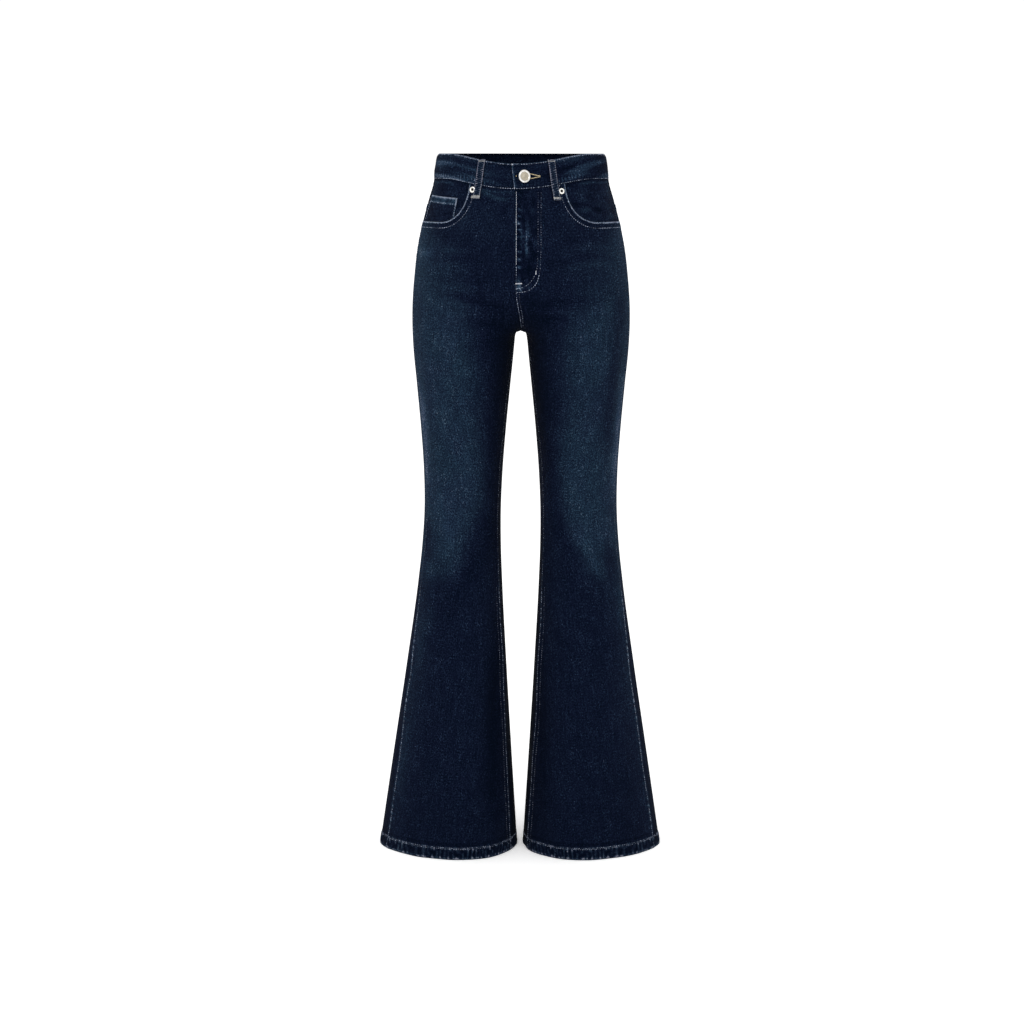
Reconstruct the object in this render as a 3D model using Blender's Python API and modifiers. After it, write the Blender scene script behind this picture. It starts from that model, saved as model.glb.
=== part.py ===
"""Bootcut jeans, filled out as when they are worn, with no wearer.

Metres, +Z up. The front faces -Y and the wearer's left is +X. The origin is the centre of the waist
opening, level with the top of the waistband at the back.

Every piece of cloth is a wall laid on one form, a closed ring at each height. A place on the form is
(side, hand, turn, height): side is FRONT or BACK, hand is LEFT or RIGHT of the wearer, and turn runs
from 0 at the centre seam (the inner leg seam below the fork) to 1 at the side seam.
"""

import math

import bpy
import numpy as np
from mathutils import Matrix, Vector

MM = 0.001

# ---------------------------------------------------------------- driving sizes

BAND_HEIGHT = 38 * MM
BAND_WALL = 2.4 * MM
BAND_PROUD = 0.4 * MM  # the doubled band stands this far out of the panels' face
BAND_LAP = 30 * MM  # the right end runs this far under the left end
BAND_END_TURN = 0.030  # where the left end stops, past the centre front
LAP_TURNS = (0.06, 0.12)  # the tucked end's lines, before its own end
LAP_STEP_TURNS = (0.05, 0.10)  # the right side steps inwards between these, to tuck under
DIP_DEPTH = 14.6 * MM  # the top edge is this much lower at the centre front
DIP_REACH = 105 * MM
DIP_POWER = 1.6

FORK_HEIGHT = -270.5 * MM
HEM_HEIGHT = -1100 * MM
HEM_DEPTH = 20 * MM
ARCH_RADIUS = 9 * MM  # of the round arch between the legs, at the inner leg seams
ARCH_POWER = 3  # above 2, the arch is squarer than a round one
ARCH_SPREAD = 0.25  # turns over which the arch fades into the thigh
ARCH_WIDENING = 60 * MM

DENIM = 1.2 * MM
LIGHT_DENIM = 1.0 * MM
SEAM_GAP = 0.3 * MM
LAYER_GAP = 0.2 * MM  # more room under a layer that bends round another

CENTRE_FRONT_SHIFT = -9.0 * MM  # the centre front stands to the wearer's right of the middle
CENTRE_FRONT_BLEND = 70 * MM  # height above the fork over which the shift fades out

FRONT = -1
BACK = 1
LEFT = 1
RIGHT = -1

# The form's rings. gap is half the distance between the legs; front, back, leg_front and leg_back are
# the reaches of the body's and of the leg's ring from the middle; seam_y is where the side and inner
# seams stand; point is 1 for a round leg, more for one that is pointed at its seams.
SECTION_COLUMNS = (
    "height", "half_width", "gap", "front", "back", "leg_front", "leg_back", "seam_y", "point"
)
SECTIONS_MM = (
    (0, 127.6, 8.3, 84.0, 86.0, 70.0, 70.0, 0.0, 1.00),
    (-20, 131.4, 8.3, 86.5, 88.0, 72.0, 72.0, 0.0, 1.00),
    (-46, 134.8, 8.3, 89.5, 92.5, 75.0, 76.0, 1.0, 1.00),
    (-66, 140.8, 8.3, 94.0, 99.0, 78.0, 82.0, 2.0, 1.00),
    (-100, 150.3, 8.3, 100.5, 112.0, 84.0, 92.0, 3.0, 1.00),
    (-140, 159.1, 8.3, 105.5, 125.0, 90.0, 103.0, 4.0, 1.00),
    (-185, 165.0, 8.3, 108.5, 133.0, 94.0, 112.0, 5.0, 1.00),
    (-230, 168.4, 8.3, 109.0, 132.0, 95.5, 115.0, 5.0, 1.00),
    (-268, 168.7, 8.4, 106.0, 125.0, 95.0, 112.0, 5.0, 1.00),
    (-300, 167.2, 11.0, 102.0, 114.0, 93.0, 106.0, 4.5, 1.00),
    (-350, 162.6, 16.0, 95.0, 100.0, 88.5, 95.0, 4.0, 1.00),
    (-420, 156.4, 22.9, 84.0, 85.0, 80.0, 81.5, 2.5, 1.00),
    (-490, 152.0, 28.4, 71.0, 70.0, 70.5, 69.5, 1.0, 1.00),
    (-550, 151.5, 31.0, 63.5, 62.5, 63.5, 62.5, 0.0, 1.00),
    (-610, 155.5, 30.9, 62.0, 63.5, 62.0, 63.5, 0.0, 1.00),
    (-670, 162.4, 28.8, 64.5, 68.0, 64.5, 68.0, 0.0, 1.02),
    (-800, 181.0, 22.2, 72.0, 76.0, 72.0, 76.0, 0.0, 1.05),
    (-950, 203.9, 13.6, 79.5, 84.0, 79.5, 84.0, 0.0, 1.08),
    (-1100, 226.5, 4.6, 86.0, 91.0, 86.0, 91.0, 0.0, 1.10),
)

# The flare's front stands further forward towards the inner leg seam: by this share at the hem, none
# at the height where the lean starts.
FLARE_LEAN = 0.2
FLARE_LEAN_START = -600 * MM

# Where the body's ring starts to part into the legs' rings, and how squarely its centre seam turns in
# to the fork. Away from the centre seam the parting is slower, and ends below the fork.
PARTING = {FRONT: (-150 * MM, 2.2), BACK: (-165 * MM, 2.6)}
PARTING_SPREAD = 0.55
PARTING_DROP = 110 * MM

# The scooped pocket mouth: a squarish quarter round from the waist seam to a level edge.
SCOOP_START = 0.354
SCOOP_FLAT = 0.60
SCOOP_HEIGHT = -102 * MM
SCOOP_POWER = 2.6

YOKE_AT_CENTRE = -108 * MM
YOKE_AT_SIDE = -76 * MM
FACING_FOOT = -125 * MM
FACING_START = 0.27

# The panels' lines: turns across, and heights down to the fork (as shares of the way in to it) and
# down the leg.
FRONT_TURNS = (0, 0.09, 0.18, 0.27, SCOOP_START, 0.363, 0.38, 0.405, 0.45, 0.51, 0.60, 0.73, 0.86, 1)
BACK_TURNS = (0, 0.08, 0.17, 0.26, 0.35, 0.44, 0.53, 0.62, 0.72, 0.81, 0.90, 1)
FORK_SHARES = (0.02, 0.08, 0.18, 0.31, 0.47, 0.64, 0.80, 0.92, 1)
ARCH_DROPS = (0.06, 0.35, 1)  # as shares of the arch's radius
LEG_HEIGHTS_MM = (-300, -340, -385, -430, -475, -520, -565, -610, -660, -730, -830, -960)

# Belt loops: side, turn at the top and at the foot (the hand is in the name).
LOOP_WIDTH = 10 * MM
LOOP_WALL = 1.6 * MM
LOOP_BOW = 2.2 * MM
LOOP_BELOW_SEAM = 20 * MM  # the front left's foot is 2 mm lower
LOOP_ABOVE_TOP = 1 * MM
BELT_LOOPS = (
    ("belt_loop_front_left", FRONT, LEFT, 0.258, 0.280),
    ("belt_loop_front_right", FRONT, RIGHT, 0.258, 0.280),
    ("belt_loop_back_left", BACK, LEFT, 0.640, 0.640),
    ("belt_loop_back_right", BACK, RIGHT, 0.640, 0.640),
    ("belt_loop_centre_back", BACK, LEFT, 0.0, 0.0),
)

# Coin pocket, on the wearer's right facing.
COIN_TURNS = (0.45, 0.51, 0.60, 0.73, 0.86)
COIN_TOP = (-66 * MM, -62 * MM)  # at its inner and outer corners
COIN_ABOVE_SCOOP = 1 * MM

# Back pockets: a plain five-sided patch.
PATCH_CENTRE = 100 * MM  # from the centre back, along the cloth
PATCH_TOP = -112 * MM
PATCH_HALF_WIDTHS = (68 * MM, 57 * MM)  # at the top and at the lower corners
PATCH_CORNER_DROP = 120 * MM
PATCH_POINT_DROP = 142 * MM
PATCH_LIFT = 1.0 * MM

# Fly zip, behind the fly. Distances run from the centre front, along the cloth.
ZIP_TAPE = (-8 * MM, 22 * MM)
ZIP_CHAIN = (4.5 * MM, 9.5 * MM)
ZIP_FOOT = -195 * MM
ZIP_CHAIN_EDGE = 1 * MM
ZIP_RISE = 1.2 * MM  # of the chain, out of the tape
ZIP_BELOW_SEAM = 2 * MM
SLIDER_BELOW_TOP = 8 * MM
SLIDER_HALF_WIDTH = 4.2 * MM
SLIDER_HEIGHTS = (6 * MM, 3 * MM, -5 * MM)  # its body's top, shoulder and foot
SLIDER_TAB = (2.4 * MM, -22 * MM)  # the pull tab's half width and foot
SLIDER_THICKNESS = 2 * MM

BUTTON_RADIUS = 9.6 * MM
BUTTON_CAP = 1.5 * MM
BUTTON_RIM = 0.6 * MM
BUTTON_STEM = 2.8 * MM
BUTTON_STEM_RADIUS = 3.4 * MM
BUTTON_TURN = 0.056
BUTTON_HEIGHT = -34 * MM
BUTTON_TILT = math.radians(20)
RIVET_RADIUS = 4.7 * MM
RIVET_TURN = 0.322
RIVET_HEIGHTS = {LEFT: -55.5 * MM, RIGHT: -53.5 * MM}

# Finishes: linear colour, roughness, metallic.
FINISHES = {
    "denim": ((0.016, 0.022, 0.045), 0.85, 0.0),
    "facing_denim": ((0.011, 0.015, 0.032), 0.88, 0.0),
    "zip_tape": ((0.010, 0.011, 0.016), 0.70, 0.0),
    "nickel": ((0.62, 0.62, 0.60), 0.28, 1.0),
}


# ---------------------------------------------------------------- the form


def section(name, height):
    """A column of the section table at any height, on a smooth curve through its rows, in metres."""
    rows = np.array(SECTIONS_MM[::-1])
    scale = 1.0 if name == "point" else MM
    known = rows[:, 0] * MM
    values = rows[:, SECTION_COLUMNS.index(name)] * scale
    step = np.diff(known)
    slope = np.diff(values) / step
    tangent = np.empty(len(values))
    tangent[0], tangent[-1] = slope[0], slope[-1]
    tangent[1:-1] = (slope[:-1] * step[1:] + slope[1:] * step[:-1]) / (step[:-1] + step[1:])
    height = np.clip(height, known[0], known[-1])
    i = np.clip(np.searchsorted(known, height, side="right") - 1, 0, len(step) - 1)
    t = (height - known[i]) / step[i]
    start = (2 * t**3 - 3 * t**2 + 1) * values[i] + (t**3 - 2 * t**2 + t) * step[i] * tangent[i]
    end = (3 * t**2 - 2 * t**3) * values[i + 1] + (t**3 - t**2) * step[i] * tangent[i + 1]
    return start + end


def leg_share(side, turn, height):
    """0 where the ring is the body's, 1 where it is the leg's."""
    top, power = PARTING[side]
    away = np.clip(turn / PARTING_SPREAD, 0, 1)
    away = away * away * (3 - 2 * away)
    down = np.clip((top - height) / (top - FORK_HEIGHT + PARTING_DROP * away), 0, 1)
    landing = 1 / power + (2 - 1 / power) * away
    return 1 - (1 - down**power) ** landing


def arch_closing(turn, height):
    """1 where the arch between the legs closes their gap, at and above the fork; 0 well below it."""
    away = np.clip(turn / ARCH_SPREAD, 0, 1)
    radius = ARCH_RADIUS + ARCH_WIDENING * away
    below_fork = np.clip((FORK_HEIGHT - height) / radius, 0, 1)
    open_by = (1 - (1 - below_fork) ** ARCH_POWER) ** (1 / ARCH_POWER)
    return (1 - open_by) * (1 - away) ** 2


def height_at_share(side, share):
    """The height where the centre seam has come in to the fork by this share."""
    top, power = PARTING[side]
    down = (1 - (1 - np.asarray(share, float)) ** power) ** (1 / power)
    return top - (top - FORK_HEIGHT) * down


def centre_front(height):
    """How far the centre front line stands from the middle."""
    up = np.clip((height - FORK_HEIGHT) / CENTRE_FRONT_BLEND, 0, 1)
    return CENTRE_FRONT_SHIFT * (0.5 - 0.5 * np.cos(np.pi * up))


def form(side, hand, turn, height):
    """Points of the form: a quarter oval round the body above, a half oval round each leg below."""
    turn, height = np.broadcast_arrays(np.asarray(turn, float), np.asarray(height, float))
    half_width = section("half_width", height)
    gap = section("gap", height)
    seam_y = section("seam_y", height)
    reach_columns = ("front", "leg_front") if side == FRONT else ("back", "leg_back")
    body_reach, leg_reach = (section(name, height) - side * seam_y for name in reach_columns)
    share = leg_share(side, turn, height)
    angle = np.pi * turn
    body_x = half_width * np.sin(angle / 2)
    body_y = body_reach * np.cos(angle / 2)
    leg_x = (half_width + gap) / 2 - (half_width - gap) / 2 * np.cos(angle)
    leg_x = leg_x - gap * arch_closing(turn, height)
    leg_y = leg_reach * np.clip(np.sin(angle), 0, None) ** section("point", height)
    if side == FRONT:
        lean = np.clip((FLARE_LEAN_START - height) / (FLARE_LEAN_START - HEM_HEIGHT), 0, 1)
        leg_y = leg_y * (1 + FLARE_LEAN * lean * np.cos(angle))
    x = hand * ((1 - share) * body_x + share * leg_x)
    if side == FRONT:
        x = x + centre_front(height) * np.cos(angle / 2) ** 2
    y = seam_y + side * ((1 - share) * body_y + share * leg_y)
    return np.stack([x, y, height], axis=-1)


def turn_at(side, distance, height):
    """The turn at this distance from the centre seam along the cloth, for one height."""
    turns = np.linspace(0, 1, 241)
    ring = form(side, LEFT, turns, np.full(turns.shape, height))
    steps = np.linalg.norm(np.diff(ring, axis=0), axis=1)
    return np.interp(distance, np.concatenate([[0], np.cumsum(steps)]), turns)


def along_cloth(side, hand, turn, height):
    """The distance from the centre seam along the cloth, for one height."""
    turns = np.linspace(0, turn, 121)
    ring = form(side, hand, turns, np.full(turns.shape, height))
    return float(np.linalg.norm(np.diff(ring, axis=0), axis=1).sum())


def on_cloth(side, distances, heights):
    """Points at signed distances from the centre seam (+ is the wearer's left) and at heights, as grids."""
    distances, heights = np.broadcast_arrays(distances, heights)
    points = np.empty(distances.shape + (3,))
    for place in np.ndindex(distances.shape):
        hand = LEFT if distances[place] >= 0 else RIGHT
        turn = turn_at(side, abs(distances[place]), heights[place])
        points[place] = form(side, hand, turn, heights[place])
    return points


def top_edge(side, turn):
    """The height of the waistband's top edge: level at the back, dipping at the centre front."""
    turn = np.asarray(turn, float)
    if side == BACK:
        return np.zeros(turn.shape)
    out = SECTIONS_MM[0][1] * MM * np.sin(np.pi * turn / 2) / DIP_REACH
    return -DIP_DEPTH * np.clip(1 - out**2, 0, 1) ** DIP_POWER


def waist_seam(side, turn):
    return top_edge(side, turn) - BAND_HEIGHT


def panel_top(turn):
    """The front panel's top edge: the waist seam, then the scoop of the pocket mouth."""
    turn = np.asarray(turn, float)
    corner = waist_seam(FRONT, SCOOP_START)
    left = np.clip((SCOOP_FLAT - turn) / (SCOOP_FLAT - SCOOP_START), 0, 1)
    scoop = corner - (corner - SCOOP_HEIGHT) * (1 - left**SCOOP_POWER) ** (1 / SCOOP_POWER)
    return np.where(turn <= SCOOP_START, waist_seam(FRONT, turn) - SEAM_GAP, scoop - SEAM_GAP)


def yoke_seam(turn):
    return YOKE_AT_CENTRE + (YOKE_AT_SIDE - YOKE_AT_CENTRE) * np.sin(np.pi * np.asarray(turn) / 2)


# ---------------------------------------------------------------- meshes


def grid_normals(points, facing, closed):
    """A vector at each grid point that moves a wall out by one unit, true to thickness at the folds."""
    ahead = np.roll(points, -1, axis=1) if closed else points[:, 1:]
    here = points if closed else points[:, :-1]
    faces = np.cross(here[1:] - ahead[:-1], ahead[1:] - here[:-1]) * facing
    faces /= np.linalg.norm(faces, axis=-1, keepdims=True)
    rows, columns = points.shape[:2]
    total = np.zeros(points.shape)
    for down in (0, 1):
        for across in (0, 1):
            at = (np.arange(faces.shape[1]) + across) % columns
            total[down : down + rows - 1, at] += faces
    unit = total / np.linalg.norm(total, axis=-1, keepdims=True)
    spread = np.zeros((rows, columns))
    count = np.zeros((rows, columns))
    for down in (0, 1):
        for across in (0, 1):
            at = (np.arange(faces.shape[1]) + across) % columns
            rows_at = slice(down, down + rows - 1)
            spread[rows_at, at] += (unit[rows_at, at] * faces).sum(axis=-1)
            count[rows_at, at] += 1
    return unit / np.clip(spread / count, 0.6, 1)[..., None]


def wall_faces(rows, columns, facing, closed):
    """Triangles of a wall between an outer grid and an inner one, with its rims."""
    outer = np.arange(rows * columns).reshape(rows, columns)
    if closed:
        outer = np.concatenate([outer, outer[:, :1]], axis=1)
    inner = outer + rows * columns

    def strip(a, b, c, d):
        a, b, c, d = (corner.reshape(-1) for corner in (a, b, c, d))
        return np.concatenate([np.stack([a, b, c], axis=1), np.stack([a, c, d], axis=1)])

    parts = [
        strip(outer[:-1, :-1], outer[1:, :-1], outer[1:, 1:], outer[:-1, 1:]),
        strip(inner[:-1, :-1], inner[1:, :-1], inner[1:, 1:], inner[:-1, 1:])[:, ::-1],
        strip(outer[0, :-1], outer[0, 1:], inner[0, 1:], inner[0, :-1]),
        strip(outer[-1, 1:], outer[-1, :-1], inner[-1, :-1], inner[-1, 1:]),
    ]
    if not closed:
        parts.append(strip(outer[1:, 0], outer[:-1, 0], inner[:-1, 0], inner[1:, 0]))
        parts.append(strip(outer[:-1, -1], outer[1:, -1], inner[1:, -1], inner[:-1, -1]))
    faces = np.concatenate(parts)
    return faces if facing > 0 else faces[:, ::-1]


def finish_material(name, finish):
    """A Principled material of its own for one node."""
    colour, roughness, metallic = FINISHES[finish]
    material = bpy.data.materials.new(f"{name}_{finish}")
    material.use_nodes = True
    shader = material.node_tree.nodes["Principled BSDF"]
    shader.inputs["Base Color"].default_value = (*colour, 1)
    shader.inputs["Roughness"].default_value = roughness
    shader.inputs["Metallic"].default_value = metallic
    return material


def add_node(name, data, finish, collection):
    """An object of its own name and material, in the jeans' collection."""
    node = bpy.data.objects.new(name, data)
    data.materials.append(finish_material(name, finish))
    collection.objects.link(node)
    return node


def wall(name, points, outer, inner, finish, collection, facing=1, closed=False, in_seam=None):
    """A closed wall of cloth on a grid of points, between two distances out of it.

    in_seam marks points whose thickness stays in the plane of the side or inner seam.
    """
    out = grid_normals(points, facing, closed)
    if in_seam is not None:
        flat = out * (1, 0, 1)
        flat /= np.linalg.norm(flat, axis=-1, keepdims=True)
        unit = out / np.linalg.norm(out, axis=-1, keepdims=True)
        flat /= np.clip((flat * unit).sum(axis=-1, keepdims=True), 0.6, 1)
        out = np.where(in_seam[..., None], flat, out)
    shape = points.shape[:2]
    outer, inner = (np.broadcast_to(each, shape)[..., None] for each in (outer, inner))
    corners = np.concatenate([points + out * outer, points + out * inner]).reshape(-1, 3)
    mesh = bpy.data.meshes.new(name)
    mesh.from_pydata(corners.tolist(), [], wall_faces(*shape, facing, closed).tolist())
    mesh.shade_smooth()
    mesh.set_sharp_from_angle(angle=math.radians(40))
    return add_node(name, mesh, finish, collection)


def place_on(node, point, out, stand_off, tilt=0):
    """Puts a node whose own +Z faces out on a point of the cloth, turned by tilt about its own upright."""
    out = Vector(out).normalized()
    across = Vector((0, 0, 1)).cross(out).normalized()
    upright = out.cross(across)
    turned = Matrix((across, upright, out)).transposed().to_4x4()
    node.matrix_world = (
        Matrix.Translation(Vector(point) + out * stand_off) @ turned @ Matrix.Rotation(tilt, 4, "Y")
    )


def turned_node(name, profile, finish, collection, steps=24):
    """A turned shape: the profile runs from the axis at its top, down its outer side, to the axis."""
    mesh = bpy.data.meshes.new(name)
    edges = [(i, i + 1) for i in range(len(profile) - 1)]
    mesh.from_pydata([(radius, 0, height) for radius, height in profile], edges, [])
    node = add_node(name, mesh, finish, collection)
    screw = node.modifiers.new("turn", "SCREW")
    screw.steps = steps
    screw.render_steps = steps
    screw.use_merge_vertices = True
    screw.merge_threshold = 0.00001
    return node


def outward(side, hand, turn, height):
    """The form's outward direction at one place."""
    step = 0.004
    across = form(side, hand, turn + step, height) - form(side, hand, turn - step, height)
    down = form(side, hand, turn, height - step) - form(side, hand, turn, height + step)
    return np.cross(down, across) * -side * hand


# ---------------------------------------------------------------- pieces of cloth


def leg_heights():
    """The panels' lines below the hip: in to the fork, round the arch, down the leg to the hem."""
    to_fork = height_at_share(FRONT, FORK_SHARES)
    arch = FORK_HEIGHT - ARCH_RADIUS * np.array(ARCH_DROPS)
    leg = np.array(LEG_HEIGHTS_MM) * MM
    return np.concatenate([to_fork, arch, leg, [HEM_HEIGHT + HEM_DEPTH, HEM_HEIGHT]])


def between(top, foot, count):
    """count heights from top towards foot, for each column, without foot itself."""
    top = np.asarray(top, float)
    shares = np.arange(count)[:, None] / count
    return top + (foot - top) * shares


def edge_gaps(points, side, hand, heights):
    """Draws the panel back from its seams by half the seam gap. Returns which points lie in a leg seam."""
    in_seam = np.zeros(points.shape[:2], bool)
    points[:, -1, 1] += side * SEAM_GAP / 2
    in_seam[:, -1] = True
    at_or_below = heights[:, 0] <= FORK_HEIGHT + 1e-6
    points[at_or_below, 0, 1] += side * SEAM_GAP / 2
    in_seam[at_or_below, 0] = True
    above = heights[:, 0] >= FORK_HEIGHT - 1e-6
    points[above, 0, 0] += hand * SEAM_GAP / 2
    return in_seam


def build_panel(name, side, hand, turns, heights, collection):
    """A front or back panel: the form's points inside its seams, as a wall of denim."""
    points = form(side, hand, np.array(turns), heights)
    in_seam = edge_gaps(points, side, hand, heights)
    wall(name, points, 0, -DENIM, "denim", collection, -side * hand, in_seam=in_seam)


def build_fronts_and_backs(collection):
    lower = leg_heights()[:, None]
    for hand, label in ((LEFT, "left"), (RIGHT, "right")):
        turns = np.array(FRONT_TURNS)
        upper = between(panel_top(turns), lower[0], 5)
        heights = np.concatenate([upper, np.repeat(lower, len(turns), axis=1)])
        build_panel(f"front_{label}", FRONT, hand, turns, heights, collection)
        turns = np.array(BACK_TURNS)
        upper = between(yoke_seam(turns) - SEAM_GAP, lower[0], 4)
        heights = np.concatenate([upper, np.repeat(lower, len(turns), axis=1)])
        build_panel(f"back_{label}", BACK, hand, turns, heights, collection)


def build_yokes(collection):
    turns = np.array(BACK_TURNS)
    shares = np.linspace(0, 1, 4)[:, None]
    top = waist_seam(BACK, turns) - SEAM_GAP
    heights = top + (yoke_seam(turns) - top) * shares
    for hand, label in ((LEFT, "left"), (RIGHT, "right")):
        points = form(BACK, hand, turns, heights)
        in_seam = np.zeros(heights.shape, bool)
        in_seam[:, -1] = True
        points[:, -1, 1] += SEAM_GAP / 2
        points[:, 0, 0] += hand * SEAM_GAP / 2
        wall(f"yoke_{label}", points, 0, -DENIM, "denim", collection, -hand, in_seam=in_seam)


def build_waistband(collection):
    """One band round the waist from its left end, which laps over, to its right end, tucked under."""
    front = np.array(FRONT_TURNS)
    back = np.array(BACK_TURNS)
    under = turn_at(FRONT, BAND_LAP, -BAND_HEIGHT / 2)
    runs = (
        (FRONT, RIGHT, np.array([BAND_END_TURN])),
        (FRONT, LEFT, front),
        (BACK, LEFT, back[::-1][1:]),
        (BACK, RIGHT, back[1:]),
        (FRONT, RIGHT, front[::-1][1:]),
        (FRONT, LEFT, np.array([*LAP_TURNS, under])),
    )
    columns, depths = [], []
    lap_depth = BAND_WALL + SEAM_GAP
    step_start, step_end = LAP_STEP_TURNS
    for number, (side, hand, turns) in enumerate(runs):
        top = top_edge(side, turns)
        heights = top - np.linspace(0, BAND_HEIGHT, 3)[:, None]
        columns.append(form(side, hand, turns, heights))
        if number == len(runs) - 1:
            depths.append(np.full(turns.shape, lap_depth))
        elif number == len(runs) - 2:
            depths.append(lap_depth * np.clip((step_end - turns) / (step_end - step_start), 0, 1))
        else:
            depths.append(np.zeros(turns.shape))
    points = np.concatenate(columns, axis=1)
    depth = np.concatenate(depths)
    wall("waistband", points, BAND_PROUD - depth, BAND_PROUD - BAND_WALL - depth, "denim", collection)


def build_pocket_facings(collection):
    """The denim behind each pocket mouth, from under the panel's edge to the side seam."""
    turns = np.array([turn for turn in FRONT_TURNS if turn >= FACING_START])
    top = waist_seam(FRONT, turns) - SEAM_GAP
    heights = top + (FACING_FOOT - top) * np.linspace(0, 1, 7)[:, None]
    outer = -(DENIM + SEAM_GAP + LAYER_GAP)
    for hand, label in ((LEFT, "left"), (RIGHT, "right")):
        points = form(FRONT, hand, turns, heights)
        points[:, -1, 1] -= SEAM_GAP / 2
        in_seam = np.zeros(heights.shape, bool)
        in_seam[:, -1] = True
        name = f"pocket_facing_{label}"
        wall(name, points, outer, outer - LIGHT_DENIM, "facing_denim", collection, hand, in_seam=in_seam)


def build_coin_pocket(collection):
    """A patch on the wearer's right facing, down to the edge of the pocket mouth."""
    turns = np.array(COIN_TURNS)
    top = np.interp(turns, (turns[0], turns[-1]), COIN_TOP)
    foot = panel_top(turns) + COIN_ABOVE_SCOOP
    heights = top + (foot - top) * np.linspace(0, 1, 4)[:, None]
    points = form(FRONT, RIGHT, turns, heights)
    inner = -(DENIM + LAYER_GAP)
    wall("coin_pocket", points, inner + LIGHT_DENIM, inner, "facing_denim", collection, RIGHT)


def build_belt_loops(collection):
    """Flat straps from the band's top edge to below the waist seam, bowed clear of the band between."""
    shares = np.linspace(0, 1, 8)
    bow = LOOP_BOW * np.clip(np.sin(np.pi * shares), 0, 1) ** 0.5
    lift = (BAND_PROUD + SEAM_GAP + LAYER_GAP / 2 + bow)[:, None]
    for name, side, hand, top_turn, foot_turn in BELT_LOOPS:
        turns = top_turn + (foot_turn - top_turn) * shares
        start = float(top_edge(side, top_turn)) + LOOP_ABOVE_TOP
        foot = float(waist_seam(side, foot_turn)) - LOOP_BELOW_SEAM
        if name.endswith("front_left"):
            foot -= 2 * MM
        heights = start + (foot - start) * shares
        centres = [along_cloth(side, hand, t, z) for t, z in zip(turns, heights)]
        across = np.linspace(-LOOP_WIDTH / 2, LOOP_WIDTH / 2, 3)
        distances = hand * np.array(centres)[:, None] + across
        points = on_cloth(side, distances, heights[:, None])
        wall(name, points, lift + LOOP_WALL, lift, "denim", collection, -side)


def build_back_pockets(collection):
    """Plain patches, square at the top and pointed at the foot."""
    across = np.linspace(-1, 1, 9)
    down = np.linspace(0, 1, 8)[:, None]
    foot = PATCH_POINT_DROP - (PATCH_POINT_DROP - PATCH_CORNER_DROP) * np.abs(across)
    half_width = PATCH_HALF_WIDTHS[0] + (PATCH_HALF_WIDTHS[1] - PATCH_HALF_WIDTHS[0]) * down
    heights = PATCH_TOP - foot * down
    for hand, label in ((LEFT, "left"), (RIGHT, "right")):
        distances = hand * PATCH_CENTRE + half_width * across
        points = on_cloth(BACK, distances, heights)
        name = f"back_pocket_{label}"
        wall(name, points, PATCH_LIFT + DENIM, PATCH_LIFT, "denim", collection, -BACK)


def build_hems(collection):
    """The allowance turned up inside each leg end, as a ring against the panels' inner face."""
    front = np.array(FRONT_TURNS)
    back = np.array(BACK_TURNS)[::-1][1:-1]
    heights = np.array([HEM_HEIGHT + HEM_DEPTH, HEM_HEIGHT])[:, None]
    outer = -(DENIM + SEAM_GAP)
    for hand, label in ((LEFT, "left"), (RIGHT, "right")):
        ring = [form(FRONT, hand, front, heights), form(BACK, hand, back, heights)]
        points = np.concatenate(ring, axis=1)
        wall(f"hem_{label}", points, outer, outer - LIGHT_DENIM, "denim", collection, hand, closed=True)


# ---------------------------------------------------------------- fly and trims


def build_zip(collection):
    """The zip behind the fly: its two tapes and closed chain as one strip, and its slider."""
    tape_start, tape_end = ZIP_TAPE
    chain_start, chain_end = ZIP_CHAIN
    chain = (chain_start - ZIP_CHAIN_EDGE, chain_start, chain_end, chain_end + ZIP_CHAIN_EDGE)
    distances = np.array([tape_start, 0, *chain, tape_end])
    top = float(waist_seam(FRONT, 0)) - ZIP_BELOW_SEAM
    heights = np.linspace(top, ZIP_FOOT, 9)[:, None]
    points = on_cloth(FRONT, distances, heights)
    outer = -(DENIM + 3 * SEAM_GAP)
    on_chain = (distances >= chain_start) & (distances <= chain_end)
    inner = outer - LIGHT_DENIM - np.where(on_chain, ZIP_RISE, 0)
    wall("fly_zip", points, outer, inner, "zip_tape", collection)

    body_top, shoulder, body_foot = SLIDER_HEIGHTS
    tab_half, tab_foot = SLIDER_TAB
    right_side = [
        (tab_half, tab_foot),
        (tab_half, body_foot),
        (SLIDER_HALF_WIDTH, shoulder),
        (SLIDER_HALF_WIDTH * 0.7, body_top),
    ]
    outline = [(-x, y) for x, y in right_side[::-1]] + right_side
    curve = bpy.data.curves.new("zip_slider", "CURVE")
    curve.dimensions = "2D"
    curve.fill_mode = "BOTH"
    curve.extrude = SLIDER_THICKNESS / 2
    spline = curve.splines.new("POLY")
    spline.points.add(len(outline) - 1)
    for point, (x, y) in zip(spline.points, outline):
        point.co = (x, y, 0, 1)
    spline.use_cyclic_u = True
    slider = add_node("zip_slider", curve, "nickel", collection)
    chain_middle = (chain_start + chain_end) / 2
    height = top - SLIDER_BELOW_TOP
    turn = float(turn_at(FRONT, chain_middle, height))
    inside = outer - LIGHT_DENIM - ZIP_RISE - 2.5 * SEAM_GAP - SLIDER_THICKNESS / 2
    at = form(FRONT, LEFT, turn, height)
    place_on(slider, at, outward(FRONT, LEFT, turn, height), inside)


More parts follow.
